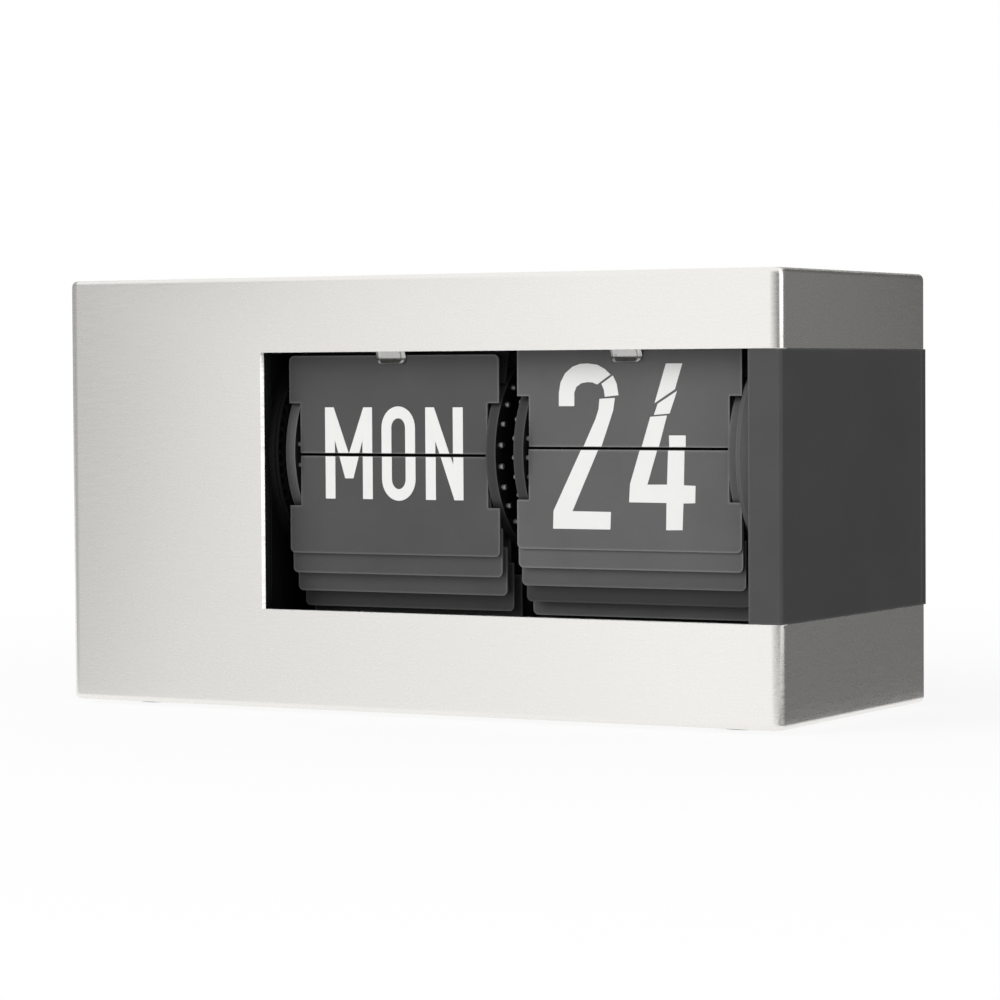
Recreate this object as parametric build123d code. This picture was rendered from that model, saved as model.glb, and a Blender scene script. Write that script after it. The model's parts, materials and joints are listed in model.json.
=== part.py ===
from build123d import *
from math import cos, radians, sin, sqrt
import os

# A desk calendar with turning leaves: one drum of leaves for the day, one for the date.
# Lengths are millimetres, angles are degrees.
# Pieces are drawn from the sleeve's lower left front corner: X to the right, Y to the back, Z up.
# At the end each piece is moved so that the origin lies on the table, under the middle of the whole.

# Steel sleeve
SLEEVE_WIDTH = 178.0
SLEEVE_HEIGHT = 95.0
SLEEVE_DEPTH = 75.0
SLEEVE_SHEET = 1.5
SLEEVE_EDGE_RADIUS = 1.4
SLEEVE_CORNER_RADIUS = 2.7
WINDOW_LEFT = 52.0
WINDOW_SILL = 21.8
HEAD_BAND = 16.6
WINDOW_HEAD = SLEEVE_HEIGHT - HEAD_BAND

# Black case inside the sleeve, and its rear cover
CASE_WALL = 2.0
CASE_FRONT_INSET = 0.6
CASE_SIDE_INSET = 0.1
CASE_WINDOW_RELIEF = 2.0
POST_WIDTH = 7.55
POST_EDGE_RADIUS = 0.8
COVER_THICKNESS = 2.4
COVER_PROUD = 1.4
COVER_LIP_WALL = 1.5
COVER_LIP_DEPTH = 3.0
COVER_LIP_CLEARANCE = 0.2
COVER_LIP_SPAN = (60.0, SLEEVE_WIDTH - 28.0)
COVER_SCREW_INSET = 7.0
SCREW_LEFT = 14.0
SCREW_RIGHT = SLEEVE_WIDTH - 18.0
COVER_SCREWS = (
    (SCREW_LEFT, COVER_SCREW_INSET),
    (WINDOW_LEFT - 6.0, SLEEVE_HEIGHT - COVER_SCREW_INSET),
    (SCREW_RIGHT, COVER_SCREW_INSET),
    (SCREW_RIGHT, SLEEVE_HEIGHT - COVER_SCREW_INSET),
)
BOSS_SIZE = 7.0
BOSS_DEPTH = 10.0

# Screws: shank radius, shank length, head radius and head height of each kind
COVER_SCREW = (1.3, 7.0, 2.6, 1.2)
FRAME_SCREW = (1.2, 1.8, 2.4, 1.2)
SMALL_SCREW = (0.9, 2.6, 1.8, 0.9)
SLEEVE_SCREW_SHANK = 1.2
SLEEVE_SCREW_HEAD = 2.3
SLEEVE_SCREW_Y = 37.0
SLEEVE_SCREW_X = (SCREW_LEFT, SCREW_RIGHT)

# Rubber feet under the sleeve
FOOT_RADIUS = 6.0
FOOT_HEIGHT = 1.0
FOOT_INSET = 15.0

# Leaf drums: both turn on one axle
AXLE_RADIUS = 2.0
AXIS_Y = 27.4
AXIS_BELOW_HEAD = 22.0
AXIS_Z = WINDOW_HEAD - AXIS_BELOW_HEAD
RUNNING_CLEARANCE = 0.05
PIN_CIRCLE = 20.5
DISC_RADIUS = 22.2
DISC_THICKNESS = 2.4
HUB_RADIUS = 5.0
GEAR_WIDTH = 2.0
GEAR_GAP = 0.5
HUB_END = 0.4
END_FLOAT = 0.15
FLAP_THICKNESS = 0.4
FLAP_REACH = 19.5
FLAP_NOTCH = 2.85
FLAP_CORNER = 1.2
FLAP_PIN_RADIUS = 0.5
FLAP_PIN_PROUD = 0.3
DAY_FLAP_TO_WINDOW = 3.2
DAY_FLAP_LEFT = WINDOW_LEFT + DAY_FLAP_TO_WINDOW
DRUM_GAP = 4.4
AXLE_TO_WALL = 1.3
DAY_FLAPS = 28
DATE_FLAPS = 31
DAY_TOP_ANGLE = 5.0
DATE_TOP_ANGLE = 9.2
DAY_FLAP_TAIL = 2.0
DATE_FLAP_TAIL = 1.8
NOTCH_PAST_PIN = 9.0
FREE_FLAPS = 5

# Gears: two teeth for each leaf, set by thumb wheels that stand out of the rear cover
TEETH_PER_FLAP = 2
DAY_WHEEL_TEETH = 33
DATE_WHEEL_TEETH = 36
WHEEL_PROUD = 2.4
WHEEL_HUB_RADIUS = 3.5
WHEEL_SLOT_CLEARANCE = 0.6
ROD_RADIUS = 1.5
COLLAR_RADIUS = 3.2
COLLAR_WIDTH = 1.6

# Frame plates, tie rods and rails
PLATE_THICKNESS = 1.5
PLATE_FRONT = 5.0
PLATE_TO_COVER = 3.0
PLATE_OVER_HEAD = 4.6
PLATE_CORNER = 4.0
LEFT_PLATE_X = WINDOW_LEFT - 2.2
PLATE_TO_GEAR = 2.1
FLANGE_WIDTH = 8.0
FLANGE_SPAN = (14.0, 50.0)
FLANGE_SCREWS_Y = (20.0, 44.0)
TIE_ROD_FRONT = (10.0, 10.0)
TIE_ROD_LOW = (9.5, 5.2)
TIE_ROD_HIGH = (9.0, 4.0)
E_CLIP_RADIUS = 3.6
E_CLIP_WIDTH = 0.7

# Guards over the gear teeth that face the window
GUARD_CLEARANCE = 0.25
GUARD_WALL = 0.6
GUARD_STEP = (0.8, 0.3)
GUARD_HALF_ANGLE = 62.0
GUARD_TO_PLATE = 0.1
GUARD_TO_GEAR_SIDE = 0.2
GUARD_TAB = (5.0, 1.2, 24.0)

# Spring clips that hold the standing leaf
RAIL_THICKNESS = 1.2
RAIL_BOTTOM = WINDOW_HEAD + 2.4
RAIL_HEIGHT = 9.0
RAIL_SCREW_INSET = 8.7
CLIP_WIDTH = 7.2
CLIP_SHEET = 0.35
CLIP_TIP = WINDOW_HEAD - 2.5
CLIP_TO_FLAP = 0.03
RIVET_RADIUS = 0.8
RIVET_HEAD = 0.5

# Drive: a gear motor turns a shaft with one finger for each drum
DRIVE_TO_PLATE_BACK = 18.5
MOTOR_TO_HOLDER = 2.3
FINGER_DEPTH = 0.75
FINGER_WIDTH = 2.0
FINGER_HUB_RADIUS = 4.5
GEARBOX_SIZE = 20.0
GEARBOX_LENGTH = 9.8
MOTOR_RADIUS = 9.0
MOTOR_LENGTH = 16.0
MOTOR_SCREW_OFFSET = 7.5

# Circuit board on pillars of the case front
BOARD = (36.0, 1.6, 40.0)
BOARD_LEFT = 8.0
BOARD_TO_TOP = 7.5
PILLAR_LENGTH = 4.5
PILLAR_RADIUS = 2.2
BOARD_HOLE_INSET = 3.5
CHIP = (10.0, 3.0, 7.0)
QUARTZ = (4.0, 3.5, 5.0)
QUARTZ_RISE = 10.5
CAPACITOR_RADIUS = 3.0
CAPACITOR_HEIGHT = 8.0
CAPACITOR_PLACE = (6.0, -11.0)

# Battery, its holder and its door
BATTERY_RADIUS = 13.1
BATTERY_LENGTH = 48.5
BATTERY_NUB = (2.75, 1.5)
BATTERY_CLEARANCE = 0.4
BATTERY_X = 24.0
HOLDER_WALL = 1.5
CONTACT_SHEET = 0.4
CONTACT_WIDTH = 9.0
SPRING_RISE = 2.4
DOOR_CLEARANCE = 0.3
DOOR_PIN_RADIUS = 0.8
DOOR_PIN_LENGTH = 1.5
DOOR_GRIP_DEPTH = 0.8

# Places that follow from the sizes above
CASE_LEFT = SLEEVE_SHEET
CASE_RIGHT = SLEEVE_WIDTH - SLEEVE_SHEET
CASE_FRONT = SLEEVE_SHEET
CASE_BOTTOM = SLEEVE_SHEET
CASE_TOP = SLEEVE_HEIGHT - SLEEVE_SHEET
COVER_BACK = SLEEVE_DEPTH + COVER_PROUD
CASE_BACK = COVER_BACK - COVER_THICKNESS
ROOM_LEFT = CASE_LEFT + CASE_WALL
ROOM_RIGHT = CASE_RIGHT - CASE_WALL
ROOM_FRONT = CASE_FRONT + CASE_WALL
ROOM_FLOOR = CASE_BOTTOM + CASE_WALL
ROOM_TOP = CASE_TOP - CASE_WALL
POST_RIGHT = SLEEVE_WIDTH - CASE_SIDE_INSET
POST_LEFT = POST_RIGHT - POST_WIDTH
BOARD_BOTTOM = ROOM_TOP - BOARD_TO_TOP - BOARD[2]
PLATE_BACK = CASE_BACK - PLATE_TO_COVER
PLATE_TOP = WINDOW_HEAD + PLATE_OVER_HEAD
TIE_RODS = (
    TIE_ROD_FRONT,
    (PLATE_BACK - TIE_ROD_LOW[0], TIE_ROD_LOW[1]),
    (PLATE_BACK - TIE_ROD_HIGH[0], PLATE_TOP - TIE_ROD_HIGH[1]),
)

DAY_TEETH = TEETH_PER_FLAP * DAY_FLAPS
DATE_TEETH = TEETH_PER_FLAP * DATE_FLAPS
# The day wheel's tips stand proud of the cover: pitch radii and one module past the wheel's axis
WHEEL_SPREAD = COVER_BACK + WHEEL_PROUD - AXIS_Y
WHEEL_DISTANCE = WHEEL_SPREAD * (DAY_TEETH + DAY_WHEEL_TEETH) / (DAY_TEETH + 2 * DAY_WHEEL_TEETH + 2)
DAY_GEAR_RADIUS = WHEEL_DISTANCE * DAY_TEETH / (DAY_TEETH + DAY_WHEEL_TEETH)
DATE_GEAR_RADIUS = WHEEL_DISTANCE * DATE_TEETH / (DATE_TEETH + DATE_WHEEL_TEETH)
DAY_WHEEL_RADIUS = WHEEL_DISTANCE - DAY_GEAR_RADIUS
DATE_WHEEL_RADIUS = WHEEL_DISTANCE - DATE_GEAR_RADIUS
DAY_MODULE = 2 * DAY_GEAR_RADIUS / DAY_TEETH
DATE_MODULE = 2 * DATE_GEAR_RADIUS / DATE_TEETH
WHEEL_Y = AXIS_Y + WHEEL_DISTANCE
TOTAL_DEPTH = WHEEL_Y + DAY_WHEEL_RADIUS + DAY_MODULE

# The axle's right end stops short of the case wall, and the two drums share the width between.
AXLE_RIGHT = ROOM_RIGHT - AXLE_TO_WALL
PLATE_OUTER = AXLE_RIGHT - E_CLIP_WIDTH - HUB_END
DATE_FLAP_END = PLATE_OUTER - PLATE_THICKNESS - PLATE_TO_GEAR - GEAR_WIDTH - GEAR_GAP
FLAP_WIDTH = (DATE_FLAP_END - DRUM_GAP - DAY_FLAP_LEFT) / 2
DAY_FLAP_RIGHT = DAY_FLAP_LEFT + FLAP_WIDTH
DATE_FLAP_LEFT = DAY_FLAP_RIGHT + DRUM_GAP
DATE_FLAP_RIGHT = DATE_FLAP_LEFT + FLAP_WIDTH
DAY_GEAR_X = DAY_FLAP_LEFT - GEAR_GAP - GEAR_WIDTH
DATE_GEAR_X = DATE_FLAP_RIGHT + GEAR_GAP
LEFT_PLATE_INNER = LEFT_PLATE_X + PLATE_THICKNESS
RIGHT_PLATE_X = DATE_GEAR_X + GEAR_WIDTH + PLATE_TO_GEAR
RIGHT_PLATE_OUTER = RIGHT_PLATE_X + PLATE_THICKNESS
RAIL_SCREWS_X = (
    LEFT_PLATE_INNER + RAIL_SCREW_INSET,
    (DAY_FLAP_RIGHT + DATE_FLAP_LEFT) / 2,
    RIGHT_PLATE_X - RAIL_SCREW_INSET,
)

HOLDER_FRONT = CASE_BACK - 2 * BATTERY_RADIUS - 3 * BATTERY_CLEARANCE - HOLDER_WALL
HOLDER_LEFT = BATTERY_X - BATTERY_RADIUS - BATTERY_CLEARANCE - HOLDER_WALL
HOLDER_RIGHT = BATTERY_X + BATTERY_RADIUS + BATTERY_CLEARANCE + HOLDER_WALL
BATTERY_Y = HOLDER_FRONT + HOLDER_WALL + BATTERY_CLEARANCE + BATTERY_RADIUS
BATTERY_TOP = ROOM_TOP - HOLDER_WALL - CONTACT_SHEET
BATTERY_BOTTOM = BATTERY_TOP - BATTERY_NUB[1] - BATTERY_LENGTH
HOLDER_FLOOR = BATTERY_BOTTOM - SPRING_RISE - CONTACT_SHEET
HOLDER_BOTTOM = HOLDER_FLOOR - HOLDER_WALL
DRIVE_Y = PLATE_BACK - DRIVE_TO_PLATE_BACK
DRIVE_Z = HOLDER_BOTTOM - MOTOR_TO_HOLDER - MOTOR_RADIUS
DOOR_LEFT = HOLDER_LEFT + HOLDER_WALL
DOOR_RIGHT = HOLDER_RIGHT - HOLDER_WALL
DOOR_BOTTOM = HOLDER_FLOOR
DOOR_TOP = ROOM_TOP - HOLDER_WALL
DOOR_AXIS_Y = COVER_BACK - COVER_THICKNESS / 2
DOOR_AXIS_Z = DOOR_BOTTOM + DOOR_CLEARANCE + COVER_THICKNESS / 2


# Plain shapes, given by their low and high places

def block(x, y, z):
    centre = ((x[0] + x[1]) / 2, (y[0] + y[1]) / 2, (z[0] + z[1]) / 2)
    return Pos(*centre) * Box(x[1] - x[0], y[1] - y[0], z[1] - z[0])


def rod_along_x(x, y, z, radius):
    return Pos((x[0] + x[1]) / 2, y, z) * Rot(0, 90, 0) * Cylinder(radius, x[1] - x[0])


def rod_along_y(x, y, z, radius):
    return Pos(x, (y[0] + y[1]) / 2, z) * Rot(90, 0, 0) * Cylinder(radius, y[1] - y[0])


def rod_along_z(x, y, z, radius):
    return Pos(x, y, (z[0] + z[1]) / 2) * Cylinder(radius, z[1] - z[0])


def tube_along_x(x, y, z, radius, bore):
    return rod_along_x(x, y, z, radius) - rod_along_x(x, y, z, bore)


# Sleeve, case and cover

def steel_sleeve():
    plan = Pos(SLEEVE_WIDTH / 2, SLEEVE_DEPTH / 2) * Rectangle(SLEEVE_WIDTH, SLEEVE_DEPTH)
    plan = fillet(plan.vertices().sort_by(Axis.Y)[:2], SLEEVE_CORNER_RADIUS)
    outside = extrude(plan, SLEEVE_HEIGHT)
    flat_faces = outside.faces().sort_by(Axis.Z)
    rims = flat_faces[0].edges() + flat_faces[-1].edges()
    front_rims = [edge for edge in rims if edge.center().Y < SLEEVE_DEPTH - SLEEVE_SHEET]
    shell = fillet(front_rims, SLEEVE_EDGE_RADIUS)
    shell -= block((CASE_LEFT, CASE_RIGHT), (CASE_FRONT, SLEEVE_DEPTH), (CASE_BOTTOM, CASE_TOP))
    shell -= block((WINDOW_LEFT, SLEEVE_WIDTH), (0, SLEEVE_DEPTH), (WINDOW_SILL, WINDOW_HEAD))
    for x in SLEEVE_SCREW_X:
        shell -= Pos(x, SLEEVE_SCREW_Y, SLEEVE_SHEET / 2) * Cone(
            SLEEVE_SCREW_HEAD, SLEEVE_SCREW_SHANK, SLEEVE_SHEET
        )
    return shell


def sleeve_screws():
    screws = []
    for x in SLEEVE_SCREW_X:
        head = Pos(x, SLEEVE_SCREW_Y, SLEEVE_SHEET / 2) * Cone(
            SLEEVE_SCREW_HEAD, SLEEVE_SCREW_SHANK, SLEEVE_SHEET
        )
        shank = rod_along_z(x, SLEEVE_SCREW_Y, (CASE_BOTTOM, ROOM_FLOOR), SLEEVE_SCREW_SHANK)
        screws.append(head + shank)
    return screws


def boss_block(x, z):
    # A boss reaches from the nearer wall, floor or ceiling to the cover screw.
    half = BOSS_SIZE / 2
    low = ROOM_FLOOR if z < SLEEVE_HEIGHT / 2 else z - half
    high = z + half if z < SLEEVE_HEIGHT / 2 else ROOM_TOP
    return block((x - half, x + half), (CASE_BACK - BOSS_DEPTH, CASE_BACK), (low, high))


def board_hole_places():
    left = BOARD_LEFT + BOARD_HOLE_INSET
    right = BOARD_LEFT + BOARD[0] - BOARD_HOLE_INSET
    low = BOARD_BOTTOM + BOARD_HOLE_INSET
    high = BOARD_BOTTOM + BOARD[2] - BOARD_HOLE_INSET
    return [(x, z) for x in (left, right) for z in (low, high)]


def flange_screw_places():
    middle_left = LEFT_PLATE_X - FLANGE_WIDTH / 2
    middle_right = RIGHT_PLATE_X - FLANGE_WIDTH / 2
    return [(x, y) for x in (middle_left, middle_right) for y in FLANGE_SCREWS_Y]


def inner_case():
    body = block((CASE_LEFT, CASE_RIGHT), (CASE_FRONT, CASE_BACK), (CASE_BOTTOM, CASE_TOP))
    corner = block((POST_LEFT, POST_RIGHT), (CASE_FRONT_INSET, CASE_BACK), (WINDOW_SILL, WINDOW_HEAD))
    upright = corner.edges().filter_by(Axis.Z).sort_by(Axis.X)[2:].sort_by(Axis.Y)[0]
    body += fillet(upright, POST_EDGE_RADIUS)
    body -= block((ROOM_LEFT, ROOM_RIGHT), (ROOM_FRONT, CASE_BACK), (ROOM_FLOOR, ROOM_TOP))
    body -= block((WINDOW_LEFT, POST_LEFT), (0, ROOM_FRONT), (WINDOW_SILL, WINDOW_HEAD))
    relief_top = WINDOW_HEAD + CASE_WINDOW_RELIEF
    body -= block((WINDOW_LEFT, POST_LEFT), (CASE_FRONT, ROOM_FRONT), (WINDOW_HEAD, relief_top))
    for x, z in COVER_SCREWS:
        body += boss_block(x, z)
        depth = (CASE_BACK - COVER_SCREW[1] + COVER_THICKNESS, CASE_BACK)
        body -= rod_along_y(x, depth, z, COVER_SCREW[0])
    for x, z in board_hole_places():
        body += rod_along_y(x, (ROOM_FRONT, ROOM_FRONT + PILLAR_LENGTH), z, PILLAR_RADIUS)
        screw_depth = SMALL_SCREW[1] - BOARD[1]
        pillar_end = ROOM_FRONT + PILLAR_LENGTH
        body -= rod_along_y(x, (pillar_end - screw_depth, pillar_end), z, SMALL_SCREW[0])
    for x, y in flange_screw_places():
        low = ROOM_FLOOR + PLATE_THICKNESS - FRAME_SCREW[1]
        body -= rod_along_z(x, y, (low, ROOM_FLOOR), FRAME_SCREW[0])
    for x in SLEEVE_SCREW_X:
        body -= rod_along_z(x, SLEEVE_SCREW_Y, (CASE_BOTTOM, ROOM_FLOOR), SLEEVE_SCREW_SHANK)
    rail_middle = RAIL_BOTTOM + RAIL_HEIGHT / 2
    for x in RAIL_SCREWS_X:
        depth = (ROOM_FRONT + RAIL_THICKNESS - SMALL_SCREW[1], ROOM_FRONT)
        body -= rod_along_y(x, depth, rail_middle, SMALL_SCREW[0])
    return body


def wheel_slot(gear_x, rim):
    reach = CASE_BACK - WHEEL_Y
    half = sqrt(rim * rim - reach * reach) + WHEEL_SLOT_CLEARANCE
    x = (gear_x - WHEEL_SLOT_CLEARANCE, gear_x + GEAR_WIDTH + WHEEL_SLOT_CLEARANCE)
    return block(x, (CASE_BACK, COVER_BACK), (AXIS_Z - half, AXIS_Z + half))


def rear_cover():
    body = block((CASE_LEFT, CASE_RIGHT), (CASE_BACK, COVER_BACK), (CASE_BOTTOM, CASE_TOP))
    body += block((CASE_RIGHT, POST_RIGHT), (CASE_BACK, COVER_BACK), (WINDOW_SILL, WINDOW_HEAD))
    lip_depth = (CASE_BACK - COVER_LIP_DEPTH, CASE_BACK)
    low = ROOM_FLOOR + COVER_LIP_CLEARANCE
    high = ROOM_TOP - COVER_LIP_CLEARANCE
    body += block(COVER_LIP_SPAN, lip_depth, (low, low + COVER_LIP_WALL))
    body += block(COVER_LIP_SPAN, lip_depth, (high - COVER_LIP_WALL, high))
    body -= wheel_slot(DAY_GEAR_X, DAY_WHEEL_RADIUS + DAY_MODULE)
    body -= wheel_slot(DATE_GEAR_X, DATE_WHEEL_RADIUS + DATE_MODULE)
    body -= block((DOOR_LEFT, DOOR_RIGHT), (CASE_BACK, COVER_BACK), (DOOR_BOTTOM, DOOR_TOP))
    pins = DOOR_PIN_LENGTH + DOOR_CLEARANCE
    socket = (DOOR_LEFT - pins, DOOR_RIGHT + pins)
    body -= rod_along_x(socket, DOOR_AXIS_Y, DOOR_AXIS_Z, DOOR_PIN_RADIUS + RUNNING_CLEARANCE)
    for x, z in COVER_SCREWS:
        body -= rod_along_y(x, (CASE_BACK, COVER_BACK), z, COVER_SCREW[0])
        seat = (COVER_BACK - COVER_SCREW[3], COVER_BACK)
        body -= rod_along_y(x, seat, z, COVER_SCREW[2])
    return body


def cover_screws():
    screws = []
    shank_end = CASE_BACK - COVER_SCREW[1] + COVER_THICKNESS
    neck = COVER_BACK - COVER_SCREW[3]
    for x, z in COVER_SCREWS:
        shank = rod_along_y(x, (shank_end, neck), z, COVER_SCREW[0])
        screws.append(shank + rod_along_y(x, (neck, COVER_BACK), z, COVER_SCREW[2]))
    return screws


def rubber_feet():
    feet = []
    for x in (FOOT_INSET, SLEEVE_WIDTH - FOOT_INSET):
        for y in (FOOT_INSET, SLEEVE_DEPTH - FOOT_INSET):
            pad = rod_along_z(x, y, (-FOOT_HEIGHT, 0), FOOT_RADIUS)
            feet.append(pad)
    return feet


# Battery compartment

def battery_door():
    half = COVER_THICKNESS / 2
    x = (DOOR_LEFT + DOOR_CLEARANCE, DOOR_RIGHT - DOOR_CLEARANCE)
    panel = block(x, (CASE_BACK, COVER_BACK), (DOOR_AXIS_Z, DOOR_TOP - DOOR_CLEARANCE))
    panel += rod_along_x(x, DOOR_AXIS_Y, DOOR_AXIS_Z, half)
    pins = (x[0] - DOOR_PIN_LENGTH, x[1] + DOOR_PIN_LENGTH)
    panel += rod_along_x(pins, DOOR_AXIS_Y, DOOR_AXIS_Z, DOOR_PIN_RADIUS)
    grip_x = (BATTERY_X - CONTACT_WIDTH, BATTERY_X + CONTACT_WIDTH)
    grip_z = (DOOR_TOP - DOOR_CLEARANCE - CONTACT_WIDTH / 2, DOOR_TOP - DOOR_CLEARANCE)
    panel -= block(grip_x, (COVER_BACK - DOOR_GRIP_DEPTH, COVER_BACK), grip_z)
    return panel


def battery_holder():
    outside = block((HOLDER_LEFT, HOLDER_RIGHT), (HOLDER_FRONT, CASE_BACK), (HOLDER_BOTTOM, ROOM_TOP))
    room_z = (HOLDER_FLOOR, ROOM_TOP - HOLDER_WALL)
    inside = block((DOOR_LEFT, DOOR_RIGHT), (HOLDER_FRONT + HOLDER_WALL, CASE_BACK), room_z)
    return outside - inside


def battery():
    cell = rod_along_z(
        BATTERY_X, BATTERY_Y, (BATTERY_BOTTOM, BATTERY_BOTTOM + BATTERY_LENGTH), BATTERY_RADIUS
    )
    nub = (BATTERY_BOTTOM + BATTERY_LENGTH, BATTERY_TOP)
    return cell + rod_along_z(BATTERY_X, BATTERY_Y, nub, BATTERY_NUB[0])


def contact_top():
    x = (BATTERY_X - CONTACT_WIDTH / 2, BATTERY_X + CONTACT_WIDTH / 2)
    y = (HOLDER_FRONT + HOLDER_WALL, BATTERY_Y + CONTACT_WIDTH / 2)
    return block(x, y, (BATTERY_TOP, BATTERY_TOP + CONTACT_SHEET))


def contact_bottom():
    x = (BATTERY_X - CONTACT_WIDTH / 2, BATTERY_X + CONTACT_WIDTH / 2)
    back = BATTERY_Y + CONTACT_WIDTH / 2
    front = HOLDER_FRONT + HOLDER_WALL
    half = CONTACT_SHEET / 2
    low = HOLDER_FLOOR + half
    high = BATTERY_BOTTOM - half
    bend = front + SPRING_RISE
    line = Polyline((back, low), (bend, low), (BATTERY_Y, high), (back, high - CONTACT_SHEET))
    strip = Plane.YZ.offset(x[0]) * trace(line, CONTACT_SHEET)
    return extrude(strip, CONTACT_WIDTH)


# Frame of the mechanism

def side_plate(x):
    middle = Pos((PLATE_FRONT + PLATE_BACK) / 2, (ROOM_FLOOR + PLATE_TOP) / 2)
    outline = RectangleRounded(PLATE_BACK - PLATE_FRONT, PLATE_TOP - ROOM_FLOOR, PLATE_CORNER)
    plate = extrude(Plane.YZ.offset(x) * middle * outline, PLATE_THICKNESS)
    across = (x, x + PLATE_THICKNESS)
    plate -= rod_along_x(across, AXIS_Y, AXIS_Z, AXLE_RADIUS)
    plate -= rod_along_x(across, WHEEL_Y, AXIS_Z, ROD_RADIUS)
    plate -= rod_along_x(across, DRIVE_Y, DRIVE_Z, AXLE_RADIUS + RUNNING_CLEARANCE)
    for y, z in TIE_RODS:
        plate -= rod_along_x(across, y, z, ROD_RADIUS)
    flange_x = (x - FLANGE_WIDTH, x)
    plate += block(flange_x, FLANGE_SPAN, (ROOM_FLOOR, ROOM_FLOOR + PLATE_THICKNESS))
    for y in FLANGE_SCREWS_Y:
        depth = (ROOM_FLOOR, ROOM_FLOOR + PLATE_THICKNESS)
        plate -= rod_along_z(x - FLANGE_WIDTH / 2, y, depth, FRAME_SCREW[0])
    return plate


def motor_screw_places():
    return [(DRIVE_Y + dy, DRIVE_Z + dz) for dy, dz in (
        (-MOTOR_SCREW_OFFSET, MOTOR_SCREW_OFFSET),
        (MOTOR_SCREW_OFFSET, -MOTOR_SCREW_OFFSET),
    )]


def left_side_plate():
    plate = side_plate(LEFT_PLATE_X)
    for y, z in motor_screw_places():
        plate -= rod_along_x((LEFT_PLATE_X, LEFT_PLATE_INNER), y, z, SMALL_SCREW[0])
    return plate


def right_side_plate():
    return side_plate(RIGHT_PLATE_X)


def frame_screws():
    screws = []
    top = ROOM_FLOOR + PLATE_THICKNESS
    for x, y in flange_screw_places():
        shank = rod_along_z(x, y, (top - FRAME_SCREW[1], top), FRAME_SCREW[0])
        head = rod_along_z(x, y, (top, top + FRAME_SCREW[3]), FRAME_SCREW[2])
        screws.append(shank + head)
    return screws


def tie_rods():
    span = (LEFT_PLATE_X, RIGHT_PLATE_OUTER)
    return [rod_along_x(span, y, z, ROD_RADIUS) for y, z in TIE_RODS]


def drum_axle():
    end = E_CLIP_WIDTH + HUB_END
    return rod_along_x((LEFT_PLATE_X - end, RIGHT_PLATE_OUTER + end), AXIS_Y, AXIS_Z, AXLE_RADIUS)


def axle_clips():
    left = (LEFT_PLATE_X - E_CLIP_WIDTH, LEFT_PLATE_X)
    right = (RIGHT_PLATE_OUTER, RIGHT_PLATE_OUTER + E_CLIP_WIDTH)
    clips = []
    for x in (left, right):
        ring = tube_along_x(x, AXIS_Y, AXIS_Z, E_CLIP_RADIUS, AXLE_RADIUS)
        mouth = block(x, (AXIS_Y - AXLE_RADIUS / 2, AXIS_Y + AXLE_RADIUS / 2), (
            AXIS_Z - E_CLIP_RADIUS, AXIS_Z - AXLE_RADIUS / 2
        ))
        clips.append(ring - mouth)
    return clips


def axle_spacers():
    day_hub, date_hub = hub_span("day"), hub_span("date")
    spans = (
        (LEFT_PLATE_INNER, day_hub[0] - END_FLOAT),
        (day_hub[1] + END_FLOAT, date_hub[0] - END_FLOAT),
        (date_hub[1] + END_FLOAT, RIGHT_PLATE_X),
    )
    return [tube_along_x(x, AXIS_Y, AXIS_Z, E_CLIP_RADIUS, AXLE_RADIUS) for x in spans]


# Leaves and drums

def flap(tail):
    # A leaf upright on its pins: the pins lie on the X axis, the middle of the leaf at X = 0.
    narrow = FLAP_WIDTH - 2 * FLAP_NOTCH
    foot = Pos(0, (NOTCH_PAST_PIN - tail) / 2) * Rectangle(narrow, NOTCH_PAST_PIN + tail)
    wide = Pos(0, (NOTCH_PAST_PIN + FLAP_REACH) / 2) * Rectangle(
        FLAP_WIDTH, FLAP_REACH - NOTCH_PAST_PIN
    )
    free_corners = wide.vertices().sort_by(Axis.Y)[2:]
    wide = fillet(free_corners, FLAP_CORNER)
    outline = Plane.XZ.offset(-FLAP_THICKNESS / 2) * (foot + wide)
    leaf = extrude(outline, FLAP_THICKNESS)
    inner = narrow / 2
    outer = FLAP_WIDTH / 2 + FLAP_PIN_PROUD
    leaf += rod_along_x((inner, outer), 0, 0, FLAP_PIN_RADIUS)
    leaf += rod_along_x((-outer, -inner), 0, 0, FLAP_PIN_RADIUS)
    return leaf


def pin_place(angle):
    # Angles are measured at the axle, from straight forward, upwards.
    y = AXIS_Y - PIN_CIRCLE * cos(radians(angle))
    z = AXIS_Z + PIN_CIRCLE * sin(radians(angle))
    return y, z


def placed_flap(leaf, middle, angle, turn):
    y, z = pin_place(angle)
    return Pos(middle, y, z) * Rot(turn, 0, 0) * leaf


def disc(x, count, top_angle):
    plate = tube_along_x((x, x + DISC_THICKNESS), AXIS_Y, AXIS_Z, DISC_RADIUS, HUB_RADIUS)
    for k in range(count):
        y, z = pin_place(top_angle + 360.0 * k / count)
        plate -= rod_along_x((x, x + DISC_THICKNESS), y, z, FLAP_PIN_RADIUS + RUNNING_CLEARANCE)
    return plate


def gear(x, y, z, teeth, pitch_radius, turn, bore):
    # Straight-sided teeth, a little thin at the pitch circle so that the pair runs free.
    module = 2 * pitch_radius / teeth
    pitch = 360.0 / teeth
    root = pitch_radius - 1.25 * module
    tip = pitch_radius + module
    points = []
    for k in range(teeth):
        middle = turn + k * pitch
        for radius, share in ((root, -0.33), (tip, -0.11), (tip, 0.11), (root, 0.33)):
            angle = radians(middle + share * pitch)
            points.append((radius * cos(angle), radius * sin(angle)))
    profile = Plane.YZ.offset(x) * Pos(y, z) * (Polygon(*points, align=None) - Circle(bore))
    return extrude(profile, GEAR_WIDTH)


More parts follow.
